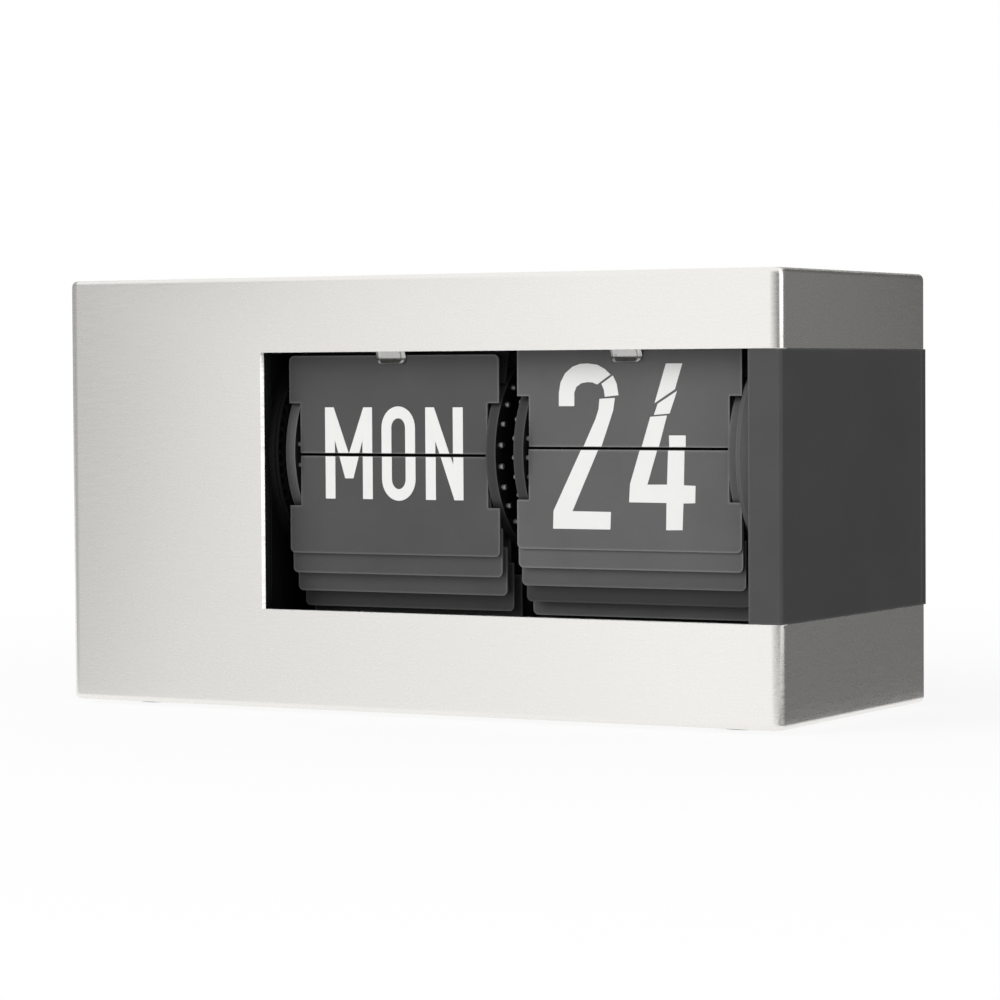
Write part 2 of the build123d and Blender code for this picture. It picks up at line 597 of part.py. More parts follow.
def hub_span(name):
    if name == "day":
        return DAY_GEAR_X - HUB_END, DAY_FLAP_RIGHT + HUB_END
    return DATE_FLAP_LEFT - HUB_END, DATE_GEAR_X + GEAR_WIDTH + HUB_END


def hub(name):
    return tube_along_x(
        hub_span(name), AXIS_Y, AXIS_Z, HUB_RADIUS, AXLE_RADIUS + RUNNING_CLEARANCE
    )


def stored_flap_places(count, top_angle):
    # Waiting leaves lean round the drum's top and back, one step of the drum apart.
    # Fallen leaves hang straight down from their pins, under the front of the drum.
    step = 360.0 / count
    places = []
    hanging = count // 2 - 1
    for k in range(1, count - hanging):
        places.append((top_angle + k * step, -k * step))
    for k in range(FREE_FLAPS + 1, hanging + 1):
        places.append((top_angle - k * step, 180.0))
    return places


def drum(name, left, count, top_angle, tail, gear_x, teeth, gear_radius):
    middle = left + FLAP_WIDTH / 2
    step = 360.0 / count
    leaf = flap(tail)
    pieces = {
        name + "_left_disc": [disc(left, count, top_angle)],
        name + "_right_disc": [disc(left + FLAP_WIDTH - DISC_THICKNESS, count, top_angle)],
        name + "_hub": [hub(name)],
        name + "_gear": [gear(gear_x, AXIS_Y, AXIS_Z, teeth, gear_radius, 0.0, HUB_RADIUS)],
        name + "_top_flap": [placed_flap(leaf, middle, top_angle, 0.0)],
    }
    for k in range(1, FREE_FLAPS + 1):
        pieces[name + "_flap_%d" % k] = [placed_flap(leaf, middle, top_angle - k * step, 180.0)]
    pieces[name + "_stored_flaps"] = [
        placed_flap(leaf, middle, angle, turn)
        for angle, turn in stored_flap_places(count, top_angle)
    ]
    return pieces


def front_ring(x, inner, outer):
    # The front part of a ring about the axle, between two rays up and down.
    reach = 2 * outer
    rise = reach * sin(radians(GUARD_HALF_ANGLE))
    run = reach * cos(radians(GUARD_HALF_ANGLE))
    wedge = Polygon((0, 0), (-run, rise), (-reach, rise), (-reach, -rise), (-run, -rise), align=None)
    profile = (Circle(outer) - Circle(inner)) & wedge
    return extrude(Plane.YZ.offset(x[0]) * Pos(AXIS_Y, AXIS_Z) * profile, x[1] - x[0])


def gear_guard(step_x, band_x, tab_x, wall_x, tip_radius):
    # A curved shield in front of the teeth, lower beside the disc; its tab lies on the case front.
    inner = tip_radius + GUARD_CLEARANCE
    outer = inner + GUARD_WALL
    guard = front_ring(band_x, inner, outer) + front_ring(step_x, inner, outer - GUARD_STEP[1])
    half = GUARD_TAB[2] / 2
    tab_y = (ROOM_FRONT, ROOM_FRONT + GUARD_TAB[1])
    guard += block(tab_x, tab_y, (AXIS_Z - half, AXIS_Z + half))
    return guard - block(wall_x, (0, ROOM_FRONT), (WINDOW_SILL, WINDOW_HEAD))


def gear_guards():
    left_step = (DAY_GEAR_X + GEAR_WIDTH - GUARD_STEP[0], DAY_GEAR_X + GEAR_WIDTH)
    left_band = (LEFT_PLATE_INNER + GUARD_TO_PLATE, left_step[0])
    left_tab_end = DAY_GEAR_X - GUARD_TO_GEAR_SIDE
    left_tab = (left_tab_end - GUARD_TAB[0], left_tab_end)
    right_step = (DATE_GEAR_X, DATE_GEAR_X + GUARD_STEP[0])
    right_band = (right_step[1], RIGHT_PLATE_X - GUARD_TO_PLATE)
    right_tab_start = right_band[1] - GUARD_STEP[0]
    right_tab = (right_tab_start, ROOM_RIGHT)
    return [
        gear_guard(
            left_step, left_band, left_tab, (left_tab[0], WINDOW_LEFT),
            DAY_GEAR_RADIUS + DAY_MODULE,
        ),
        gear_guard(
            right_step, right_band, right_tab, (POST_LEFT, right_tab[1]),
            DATE_GEAR_RADIUS + DATE_MODULE,
        ),
    ]


# Setting wheels

def wheel_collar_span(gear_x):
    # The collar keeps the wheel against the nearer plate.
    if gear_x < SLEEVE_WIDTH / 2:
        start = gear_x + GEAR_WIDTH + END_FLOAT
        return start, start + COLLAR_WIDTH
    end = gear_x - END_FLOAT
    return end - COLLAR_WIDTH, end


def set_wheel(gear_x, teeth, radius, plate_x):
    # A tooth gap faces the drum's gear, so an even wheel is turned by half a tooth.
    turn = 180.0 / teeth if teeth % 2 == 0 else 0.0
    wheel = gear(
        gear_x, WHEEL_Y, AXIS_Z, teeth, radius, turn, ROD_RADIUS + RUNNING_CLEARANCE
    )
    if plate_x < gear_x:
        hub_x = (plate_x + END_FLOAT, gear_x)
    else:
        hub_x = (gear_x + GEAR_WIDTH, plate_x - END_FLOAT)
    bore = ROD_RADIUS + RUNNING_CLEARANCE
    return wheel + tube_along_x(hub_x, WHEEL_Y, AXIS_Z, WHEEL_HUB_RADIUS, bore)


def wheel_rod():
    return rod_along_x((LEFT_PLATE_X, RIGHT_PLATE_OUTER), WHEEL_Y, AXIS_Z, ROD_RADIUS)


def wheel_collars():
    spans = (wheel_collar_span(DAY_GEAR_X), wheel_collar_span(DATE_GEAR_X))
    return [tube_along_x(x, WHEEL_Y, AXIS_Z, COLLAR_RADIUS, ROD_RADIUS) for x in spans]


# Spring clips and their rail

def clip_rail():
    height = (RAIL_BOTTOM, RAIL_BOTTOM + RAIL_HEIGHT)
    depth = (ROOM_FRONT, ROOM_FRONT + RAIL_THICKNESS)
    rail = block((LEFT_PLATE_INNER, RIGHT_PLATE_X), depth, height)
    for x in RAIL_SCREWS_X:
        rail -= rod_along_y(x, depth, (height[0] + height[1]) / 2, SMALL_SCREW[0])
    return rail


def rail_screws():
    screws = []
    seat = ROOM_FRONT + RAIL_THICKNESS
    for x in RAIL_SCREWS_X:
        z = RAIL_BOTTOM + RAIL_HEIGHT / 2
        shank = rod_along_y(x, (seat - SMALL_SCREW[1], seat), z, SMALL_SCREW[0])
        screws.append(shank + rod_along_y(x, (seat, seat + SMALL_SCREW[3]), z, SMALL_SCREW[2]))
    return screws


def flap_clip(middle, top_angle):
    # A bent strip: down the back of the rail, out to the standing leaf, and a tip turned forward.
    flap_face = pin_place(top_angle)[0] - FLAP_THICKNESS / 2
    seat = ROOM_FRONT + RAIL_THICKNESS + CLIP_SHEET / 2
    touch = flap_face - CLIP_TO_FLAP - CLIP_SHEET / 2
    top = RAIL_BOTTOM + RAIL_HEIGHT - CLIP_SHEET
    line = Polyline(
        (seat, top),
        (seat, RAIL_BOTTOM + CLIP_SHEET),
        (touch, CLIP_TIP + 1.5),
        (touch, CLIP_TIP + 1.0),
        (touch - 0.5, CLIP_TIP),
    )
    strip = Plane.YZ.offset(middle - CLIP_WIDTH / 2) * trace(line, CLIP_SHEET)
    return extrude(strip, CLIP_WIDTH)


def clip_middles():
    return DAY_FLAP_LEFT + FLAP_WIDTH / 2, DATE_FLAP_LEFT + FLAP_WIDTH / 2


def clip_rivets():
    seat = ROOM_FRONT + RAIL_THICKNESS + CLIP_SHEET
    rivets = []
    for middle in clip_middles():
        for x in (middle - CLIP_WIDTH / 4, middle + CLIP_WIDTH / 4):
            z = RAIL_BOTTOM + RAIL_HEIGHT / 2
            rivets.append(rod_along_y(x, (seat, seat + RIVET_HEAD), z, RIVET_RADIUS))
    return rivets


# Drive

def finger_wheel(gear_x, gear_radius):
    # One finger, which points away from the drum at rest.
    dy = DRIVE_Y - AXIS_Y
    dz = DRIVE_Z - AXIS_Z
    distance = sqrt(dy * dy + dz * dz)
    reach = distance - gear_radius + FINGER_DEPTH
    body = Circle(FINGER_HUB_RADIUS)
    finger = Pos(reach / 2, 0) * SlotOverall(reach, FINGER_WIDTH)
    toward = Rot(0, 0, Vector(1, 0, 0).get_signed_angle(Vector(dy, dz, 0), Vector(0, 0, 1)))
    profile = body + toward * finger - Circle(AXLE_RADIUS)
    return extrude(Plane.YZ.offset(gear_x) * Pos(DRIVE_Y, DRIVE_Z) * profile, GEAR_WIDTH)


def drive_shaft():
    start = LEFT_PLATE_X - GEARBOX_LENGTH / 2
    return rod_along_x((start, RIGHT_PLATE_OUTER), DRIVE_Y, DRIVE_Z, AXLE_RADIUS)


def gearbox():
    half = GEARBOX_SIZE / 2
    x = (LEFT_PLATE_X - GEARBOX_LENGTH, LEFT_PLATE_X)
    body = block(x, (DRIVE_Y - half, DRIVE_Y + half), (DRIVE_Z - half, DRIVE_Z + half))
    body = fillet(body.edges().filter_by(Axis.X), PLATE_THICKNESS)
    bore = (LEFT_PLATE_X - GEARBOX_LENGTH / 2 - END_FLOAT, LEFT_PLATE_X)
    body -= rod_along_x(bore, DRIVE_Y, DRIVE_Z, AXLE_RADIUS + RUNNING_CLEARANCE)
    for y, z in motor_screw_places():
        depth = (LEFT_PLATE_INNER - SMALL_SCREW[1], LEFT_PLATE_X)
        body -= rod_along_x(depth, y, z, SMALL_SCREW[0])
    return body


def motor():
    end = LEFT_PLATE_X - GEARBOX_LENGTH
    return rod_along_x((end - MOTOR_LENGTH, end), DRIVE_Y, DRIVE_Z, MOTOR_RADIUS)


def motor_screws():
    screws = []
    for y, z in motor_screw_places():
        depth = (LEFT_PLATE_INNER - SMALL_SCREW[1], LEFT_PLATE_INNER)
        shank = rod_along_x(depth, y, z, SMALL_SCREW[0])
        head = (LEFT_PLATE_INNER, LEFT_PLATE_INNER + SMALL_SCREW[3])
        screws.append(shank + rod_along_x(head, y, z, SMALL_SCREW[2]))
    return screws


# Circuit board

def circuit_board():
    front = ROOM_FRONT + PILLAR_LENGTH
    x = (BOARD_LEFT, BOARD_LEFT + BOARD[0])
    board = block(x, (front, front + BOARD[1]), (BOARD_BOTTOM, BOARD_BOTTOM + BOARD[2]))
    for hole_x, z in board_hole_places():
        board -= rod_along_y(hole_x, (front, front + BOARD[1]), z, SMALL_SCREW[0])
    return board


def board_screws():
    screws = []
    seat = ROOM_FRONT + PILLAR_LENGTH + BOARD[1]
    for x, z in board_hole_places():
        shank = rod_along_y(x, (seat - SMALL_SCREW[1], seat), z, SMALL_SCREW[0])
        screws.append(shank + rod_along_y(x, (seat, seat + SMALL_SCREW[3]), z, SMALL_SCREW[2]))
    return screws


def board_parts():
    # A chip, a quartz can and two capacitors on the board's rear face.
    seat = ROOM_FRONT + PILLAR_LENGTH + BOARD[1]
    middle_x = BOARD_LEFT + BOARD[0] / 2
    middle_z = BOARD_BOTTOM + BOARD[2] / 2
    middle = Pos(middle_x, seat, middle_z)
    chip = middle * Pos(0, CHIP[1] / 2, 0) * Box(*CHIP)
    quartz = middle * Pos(0, QUARTZ[1] / 2, QUARTZ_RISE) * Box(*QUARTZ)
    depth = (seat, seat + CAPACITOR_HEIGHT)
    low = middle_z + CAPACITOR_PLACE[1]
    capacitors = [
        rod_along_y(middle_x + dx, depth, low, CAPACITOR_RADIUS)
        for dx in (-CAPACITOR_PLACE[0], CAPACITOR_PLACE[0])
    ]
    return [chip, quartz] + capacitors


def all_pieces():
    day_middle, date_middle = clip_middles()
    pieces = {
        "steel_sleeve": [steel_sleeve()],
        "inner_case": [inner_case()],
        "rear_cover": [rear_cover()],
        "cover_screws": cover_screws(),
        "sleeve_screws": sleeve_screws(),
        "rubber_feet": rubber_feet(),
        "battery_door": [battery_door()],
        "battery_holder": [battery_holder()],
        "battery": [battery()],
        "contact_top": [contact_top()],
        "contact_bottom": [contact_bottom()],
        "left_side_plate": [left_side_plate()],
        "right_side_plate": [right_side_plate()],
        "frame_screws": frame_screws(),
        "tie_rods": tie_rods(),
        "drum_axle": [drum_axle()],
        "axle_clips": axle_clips(),
        "axle_spacers": axle_spacers(),
        "gear_guards": gear_guards(),
        "wheel_rod": [wheel_rod()],
        "wheel_collars": wheel_collars(),
        "clip_rail": [clip_rail()],
        "rail_screws": rail_screws(),
        "clip_rivets": clip_rivets(),
        "day_flap_clip": [flap_clip(day_middle, DAY_TOP_ANGLE)],
        "date_flap_clip": [flap_clip(date_middle, DATE_TOP_ANGLE)],
        "gearbox": [gearbox()],
        "motor": [motor()],
        "motor_screws": motor_screws(),
        "drive_shaft": [drive_shaft()],
        "day_finger_wheel": [finger_wheel(DAY_GEAR_X, DAY_GEAR_RADIUS)],
        "date_finger_wheel": [finger_wheel(DATE_GEAR_X, DATE_GEAR_RADIUS)],
        "circuit_board": [circuit_board()],
        "board_screws": board_screws(),
        "board_parts": board_parts(),
        "day_set_wheel": [
            set_wheel(DAY_GEAR_X, DAY_WHEEL_TEETH, DAY_WHEEL_RADIUS, LEFT_PLATE_INNER)
        ],
        "date_set_wheel": [
            set_wheel(DATE_GEAR_X, DATE_WHEEL_TEETH, DATE_WHEEL_RADIUS, RIGHT_PLATE_X)
        ],
    }
    pieces.update(drum(
        "day", DAY_FLAP_LEFT, DAY_FLAPS, DAY_TOP_ANGLE, DAY_FLAP_TAIL,
        DAY_GEAR_X, DAY_TEETH, DAY_GEAR_RADIUS,
    ))
    pieces.update(drum(
        "date", DATE_FLAP_LEFT, DATE_FLAPS, DATE_TOP_ANGLE, DATE_FLAP_TAIL,
        DATE_GEAR_X, DATE_TEETH, DATE_GEAR_RADIUS,
    ))
    return pieces


os.makedirs("parts", exist_ok=True)
to_table = Pos(-SLEEVE_WIDTH / 2, -TOTAL_DEPTH / 2, FOOT_HEIGHT)
for node, solids in all_pieces().items():
    moved = [to_table * solid for solid in solids]
    shape = moved[0] if len(moved) == 1 else Compound(children=moved)
    export_step(shape, "parts/%s.step" % node)
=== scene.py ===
"""Looks of a desk calendar with turning leaves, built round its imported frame.

A brushed steel sleeve holds a black case. Two drums of grey leaves show the day and the date.
"""

import json
import math

import bmesh
import bpy
from mathutils import Matrix, Vector

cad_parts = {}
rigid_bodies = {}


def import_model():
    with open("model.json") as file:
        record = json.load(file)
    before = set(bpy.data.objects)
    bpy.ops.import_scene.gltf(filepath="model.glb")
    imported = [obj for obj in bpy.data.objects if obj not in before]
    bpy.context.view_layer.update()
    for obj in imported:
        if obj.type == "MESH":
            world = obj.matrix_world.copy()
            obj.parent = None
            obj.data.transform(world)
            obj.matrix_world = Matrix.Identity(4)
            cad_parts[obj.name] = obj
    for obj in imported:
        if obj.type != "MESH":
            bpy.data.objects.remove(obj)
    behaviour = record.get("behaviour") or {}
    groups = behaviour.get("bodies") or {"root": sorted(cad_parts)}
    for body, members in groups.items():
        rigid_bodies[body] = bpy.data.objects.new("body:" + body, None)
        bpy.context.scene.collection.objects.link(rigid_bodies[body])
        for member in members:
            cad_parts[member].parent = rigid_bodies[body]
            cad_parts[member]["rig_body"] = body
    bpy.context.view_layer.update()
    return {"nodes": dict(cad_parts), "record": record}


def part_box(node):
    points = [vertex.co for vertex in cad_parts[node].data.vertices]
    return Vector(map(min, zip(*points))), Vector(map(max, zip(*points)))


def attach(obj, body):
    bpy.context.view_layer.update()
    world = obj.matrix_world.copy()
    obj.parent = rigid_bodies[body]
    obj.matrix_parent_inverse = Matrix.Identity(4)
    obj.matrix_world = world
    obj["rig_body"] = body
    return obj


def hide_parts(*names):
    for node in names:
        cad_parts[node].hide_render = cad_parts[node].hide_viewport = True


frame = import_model()
NODES = frame["nodes"]
MM = 0.001

# The sleeve's lower left front corner: places below are millimetres from it,
# X to the right, Y to the back, Z up.
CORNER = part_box("steel_sleeve")[0]

SLEEVE_WIDTH = 178.0
WINDOW_LEFT = CORNER.x + 52.0 * MM
WINDOW_LEVELS = (CORNER.z + 21.8 * MM, CORNER.z + 78.4 * MM)
# The room inside the case along X, Y and Z, whose inner faces get painted shade, and the level
# where the cell's bright band starts.
CASE_ROOM = ((2.2, 175.6), (1.0, 73.0), (2.2, 92.6))
JACKET_BAND = 76.0
# The drums' axle, as (Y, Z), and how far the leaves' pins lie from it.
AXIS = (27.4, 56.4)
PIN_CIRCLE = 20.5
LEAF_THICKNESS = 0.4
# Leaves of each drum, the standing leaf's angle round the axle, and a leaf's length past its pin.
DRUMS = {
    "day": {"leaves": 28, "top": 5.0, "tail": 2.0},
    "date": {"leaves": 31, "top": 9.2, "tail": 1.8},
}


def place(x, y, z):
    return CORNER + Vector((x, y, z)) * MM


def span_x(node):
    """How far a node reaches along X, in millimetres from the sleeve's left side."""
    low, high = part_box(node)
    return (low.x - CORNER.x) / MM, (high.x - CORNER.x) / MM


for kind in DRUMS:
    leaf = span_x(kind + "_top_flap")
    DRUMS[kind]["edges"] = leaf
    DRUMS[kind]["middle"] = (leaf[0] + leaf[1]) / 2


def pin_place(angle):
    """Where a leaf's pin is when the drum holds it at that angle, as (y, z)."""
    turn = math.radians(angle)
    return AXIS[0] - PIN_CIRCLE * math.cos(turn), AXIS[1] + PIN_CIRCLE * math.sin(turn)


# Finishes

class Finish:
    """One material and the nodes that make its colour, sheen and texture."""

    def __init__(self, name, **values):
        self.material = bpy.data.materials.new(name)
        self.material.use_nodes = True
        self.nodes = self.material.node_tree.nodes
        self.links = self.material.node_tree.links
        self.nodes.clear()
        output = self.nodes.new("ShaderNodeOutputMaterial")
        self.shader = self.nodes.new("ShaderNodeBsdfPrincipled")
        self.links.new(self.shader.outputs[0], output.inputs["Surface"])
        self.surface = output.inputs["Surface"]
        for key, value in values.items():
            self.shader.inputs[key.replace("_", " ")].default_value = value
        self.where = self.nodes.new("ShaderNodeTexCoord").outputs["Object"]

    def set(self, socket, source):
        self.links.new(source, self.shader.inputs[socket])

    def split(self, vector):
        node = self.nodes.new("ShaderNodeSeparateXYZ")
        self.links.new(vector, node.inputs[0])
        return node.outputs

    def facing(self, kind="Normal"):
        return self.nodes.new("ShaderNodeNewGeometry").outputs[kind]

    def stretched(self, scale):
        mapping = self.nodes.new("ShaderNodeMapping")
        mapping.inputs["Scale"].default_value = scale
        self.links.new(self.where, mapping.inputs["Vector"])
        return mapping.outputs[0]

    def noise(self, scale, detail=2.0, rough=0.5, vector=None):
        node = self.nodes.new("ShaderNodeTexNoise")
        node.inputs["Scale"].default_value = scale
        node.inputs["Detail"].default_value = detail
        node.inputs["Roughness"].default_value = rough
        self.links.new(vector or self.where, node.inputs["Vector"])
        return node.outputs["Fac"]

    def span(self, source, low, high, from_low=0.3, from_high=0.7):
        node = self.nodes.new("ShaderNodeMapRange")
        node.inputs["From Min"].default_value = from_low
        node.inputs["From Max"].default_value = from_high
        node.inputs["To Min"].default_value = low
        node.inputs["To Max"].default_value = high
        self.links.new(source, node.inputs["Value"])
        return node.outputs[0]

    def math(self, kind, first, second):
        node = self.nodes.new("ShaderNodeMath")
        node.operation = kind
        for k, value in enumerate((first, second)):
            if hasattr(value, "is_output"):
                self.links.new(value, node.inputs[k])
            else:
                node.inputs[k].default_value = value
        return node.outputs[0]

    def mix(self, factor, dark, light):
        node = self.nodes.new("ShaderNodeMix")
        node.data_type = "RGBA"
        for key, value in (("A", dark), ("B", light)):
            socket = [s for s in node.inputs if s.name == key and s.type == "RGBA"][0]
            if hasattr(value, "is_output"):
                self.links.new(value, socket)
            else:
                socket.default_value = (*value, 1.0)
        factor_socket = [s for s in node.inputs if s.name == "Factor" and s.type == "VALUE"][0]
        self.links.new(factor, factor_socket)
        return [s for s in node.outputs if s.type == "RGBA"][0]

    def size(self, value):
        return self.math("ABSOLUTE", value, 0.0)

    def blend(self, first, second, share=0.5, rest=0.5):
        parts = self.math("MULTIPLY", first, share), self.math("MULTIPLY", second, rest)
        return self.math("ADD", *parts)

    def relief(self, height, depth, strength):
        node = self.nodes.new("ShaderNodeBump")
        node.inputs["Distance"].default_value = depth
        node.inputs["Strength"].default_value = strength
        self.links.new(height, node.inputs["Height"])
        self.set("Normal", node.outputs[0])
        return node


# The window's edges, lightened to a painted highlight: how far they reach, where the sheet ends
# behind them, and the way their rounding faces, which shines as the sleeve's corner does.
EDGE_REACH = 0.4 * MM
SHEET_BACK = CORNER.y + 3.0 * MM
EDGE_TURN = (0.853, -0.512, 0.10)
# How far from an edge a plastic is rubbed and lightened by a painted highlight.
WEAR_AND_HIGHLIGHT_REACH = 0.8 * MM


def edge_wear_and_highlight(finish):
    """How near a point lies to an edge, from the surface's own bend, where the colour is lightened:
    partly wear, partly a painted highlight.
    """
    node = finish.nodes.new("ShaderNodeBevel")
    node.samples = 4
    node.inputs["Radius"].default_value = WEAR_AND_HIGHLIGHT_REACH
    dot = finish.nodes.new("ShaderNodeVectorMath")
    dot.operation = "DOT_PRODUCT"
    finish.links.new(node.outputs[0], dot.inputs[0])
    finish.links.new(finish.facing(), dot.inputs[1])
    return finish.span(dot.outputs["Value"], 1.0, 0.0, 0.90, 0.995)


def painted_window_edge_highlight(finish, normal):
    """1 on the window's left cut, and on its rounded edges above and below: where the painted
    highlight goes.
    """
    across, back, up = finish.split(finish.where)
    from_cut = finish.size(finish.math("SUBTRACT", across, WINDOW_LEFT))
    near = finish.math("LESS_THAN", from_cut, EDGE_REACH)
    edge = finish.math("MULTIPLY", near, finish.math("GREATER_THAN", normal["X"], 0.5))
    lying = finish.math("GREATER_THAN", finish.size(normal["Z"]), 0.35)
    beside = finish.math("GREATER_THAN", across, WINDOW_LEFT - EDGE_REACH)
    for level in WINDOW_LEVELS:
        off = finish.size(finish.math("SUBTRACT", up, level))
        round_edge = finish.math("MULTIPLY", finish.math("LESS_THAN", off, EDGE_REACH), lying)
        edge = finish.math("MAXIMUM", edge, finish.math("MULTIPLY", round_edge, beside))
    return finish.math("MULTIPLY", edge, finish.math("LESS_THAN", back, SHEET_BACK))


def brushed_sleeve_steel():
    """Stainless sheet, brushed level all round: fine lines, a few longer scratches; a painted
    highlight lightens the window's edges.
    """
    finish = Finish("brushed_sleeve_steel", Metallic=1.0, Roughness=0.28, Anisotropic=0.75)
    surface = finish.facing()
    normal = finish.split(surface)
    lying = finish.math("GREATER_THAN", finish.size(normal["Z"]), 0.7)
    across = finish.nodes.new("ShaderNodeCombineXYZ")
    finish.links.new(lying, across.inputs["Y"])
    finish.links.new(finish.math("SUBTRACT", 1.0, lying), across.inputs["Z"])
    finish.links.new(across.outputs[0], finish.shader.inputs["Tangent"])

    def lines(length, width, shift):
        # Level lines: they run round with X and Y on upright faces, with X alone on lying ones.
        standing = finish.noise(1.0, 3.0, 0.65, finish.stretched((length, length, width)))
        flat = finish.noise(1.0, 3.0, 0.65, finish.stretched((length, width, shift)))
        joined = finish.nodes.new("ShaderNodeMix")
        for k, source in ((0, lying), (2, standing), (3, flat)):
            finish.links.new(source, joined.inputs[k])
        return joined.outputs[0]

    fine = lines(190.0, 5600.0, 90.0)
    dashes = lines(150.0, 1500.0, 60.0)
    nicks = finish.span(lines(130.0, 2600.0, 30.0), 0.0, 1.0, 0.68, 0.76)
    cloud = finish.noise(30.0, 2.0, 0.5)
    tone = finish.blend(fine, dashes)
    colour = finish.mix(finish.span(tone, 0.0, 1.0), (0.868, 0.853, 0.820), (0.900, 0.886, 0.854))
    colour = finish.mix(finish.math("MULTIPLY", nicks, 0.20), colour, (0.70, 0.69, 0.67))
    # Painted highlight: the window's edges are lightened nearly to white, and their normal is bent
    # towards the light.
    edge = painted_window_edge_highlight(finish, normal)
    finish.set("Base Color", finish.mix(edge, colour, (0.96, 0.955, 0.945)))
    rough = finish.math("ADD", finish.span(dashes, 0.23, 0.33), finish.span(cloud, -0.015, 0.02))
    finish.set("Roughness", rough)
    bump = finish.relief(finish.math("SUBTRACT", tone, nicks), 0.000002, 0.12)
    rounded = finish.nodes.new("ShaderNodeMix")
    rounded.data_type = "VECTOR"
    finish.links.new(edge, rounded.inputs["Factor"])
    finish.links.new(surface, rounded.inputs[4])
    rounded.inputs[5].default_value = EDGE_TURN
    finish.links.new(rounded.outputs[1], bump.inputs["Normal"])
    return finish.material


def painted_shade_in_case_room(finish):
    """1 in the room inside the case: its inner faces, which get painted shade."""
    spot = finish.split(finish.where)
    within = 1.0
    for k, (low, high) in enumerate(CASE_ROOM):
        above = finish.math("GREATER_THAN", spot[k], CORNER[k] + low * MM)
        below = finish.math("LESS_THAN", spot[k], CORNER[k] + high * MM)
        within = finish.math("MULTIPLY", within, finish.math("MULTIPLY", above, below))
    return within


def painted_shade_on_flat_side(finish):
    """1 on a disc's flat sides, which get painted shade, 0 on its rim."""
    side = finish.split(finish.facing("True Normal"))["X"]
    return finish.math("GREATER_THAN", finish.size(side), 0.8)


# 1 on the left half: where painted shade darkens the left gear guard.
def painted_shade_on_left_half(finish):
    return finish.math("LESS_THAN", finish.split(finish.where)["X"], 0.0)


def plastic(name, grey, roughness, grain, depth, mottle=0.12, wear_and_highlight=0.0, gloss=0.5, dark=None):
    """A moulded plastic with a fine grain; its corners are a little rubbed and lightened by a
    painted highlight, and a mask can darken it with painted shade.
    """
    finish = Finish(name, Roughness=roughness, Specular_IOR_Level=gloss)
    colour = grey if isinstance(grey, tuple) else (grey,) * 3
    cloud = finish.noise(60.0, 3.0, 0.55)
    speck = finish.noise(grain, 2.0, 0.6)
    low = tuple(c * (1.0 - mottle) for c in colour)
    high = tuple(min(1.0, c * (1.0 + mottle)) for c in colour)
    shade = finish.mix(finish.span(finish.blend(cloud, speck), 0.0, 1.0, 0.35, 0.65), low, high)
    # Edges lightened: partly wear, partly a painted highlight.
    if wear_and_highlight:
        lift = tuple(min(1.0, c * (1.0 + wear_and_highlight) + 0.01 * wear_and_highlight) for c in colour)
        shade = finish.mix(edge_wear_and_highlight(finish), shade, lift)
    # Painted shade: where the mask is 1, the colour is darkened to the given level.
    if dark:
        where, level = dark
        shade = finish.mix(where(finish), shade, (level,) * 3)
    finish.set("Base Color", shade)
    finish.set("Roughness", finish.span(speck, roughness - 0.06, roughness + 0.08))
    finish.relief(speck, depth, 0.6)
    return finish.material


def metal(name, colour, roughness, line, drawn=(1.0, 1.0, 1.0), stain=0.08):
    """A bare metal: fine marks along one direction, faint clouding."""
    finish = Finish(name, Metallic=1.0)
    marks = finish.noise(1.0, 3.0, 0.6, finish.stretched(tuple(line * d for d in drawn)))
    cloud = finish.noise(120.0, 2.0, 0.5)
    dark = tuple(c * (1.0 - 2.0 * stain) for c in colour)
    tone = finish.blend(marks, cloud, 0.65, 0.35)
    finish.set("Base Color", finish.mix(finish.span(tone, 0.0, 1.0), dark, colour))
    finish.set("Roughness", finish.span(marks, roughness - 0.05, roughness + 0.08))
    finish.relief(marks, 0.000008, 0.4)
    return finish.material


def board_green():
    """A coated board: copper runs under green lacquer, in square turns."""
    finish = Finish("board_green", Roughness=0.3, Coat_Weight=0.4, Coat_Roughness=0.12)
    brick = finish.nodes.new("ShaderNodeTexBrick")
    brick.inputs["Scale"].default_value = 170.0
    brick.inputs["Mortar Size"].default_value = 0.05
    turned = finish.nodes.new("ShaderNodeMapping")
    turned.inputs["Rotation"].default_value = (math.radians(90), 0.0, 0.0)
    finish.links.new(finish.where, turned.inputs["Vector"])
    finish.links.new(turned.outputs[0], brick.inputs["Vector"])
    patch = finish.noise(90.0, 1.0, 0.5)
    runs = finish.math("MULTIPLY", brick.outputs["Fac"], finish.span(patch, 0.2, 1.0))
    finish.set("Base Color", finish.mix(runs, (0.012, 0.10, 0.045), (0.05, 0.22, 0.09)))
    finish.relief(runs, 0.00003, 0.5)
    return finish.material


def battery_jacket():
    """A wrapped cell: dark jacket, copper-toned band at the upper end, bare steel ends."""
    finish = Finish("battery_jacket", Roughness=0.28, Coat_Weight=0.3, Coat_Roughness=0.1)
    height = finish.split(finish.where)["Z"]
    band = finish.math("GREATER_THAN", height, CORNER.z + JACKET_BAND * MM)
    grain = finish.noise(260.0, 2.0, 0.5)
    body = finish.mix(finish.span(grain, 0.0, 1.0), (0.030, 0.034, 0.040), (0.048, 0.052, 0.060))
    finish.set("Base Color", finish.mix(band, body, (0.62, 0.34, 0.16)))
    finish.relief(grain, 0.000012, 0.5)
    return finish.material


# Roughness, scale and depth of the grain, and mottle of the three main plastics.
CASE_GRAIN = (0.42, 3600.0, 0.000022, 0.10)
LEAF_GRAIN = (0.46, 4200.0, 0.000016, 0.12)
DRUM_GRAIN = (0.44, 3000.0, 0.00002, 0.10)

STEEL = brushed_sleeve_steel()
CASE = plastic("case_black", 0.047, *CASE_GRAIN, wear_and_highlight=0.9)
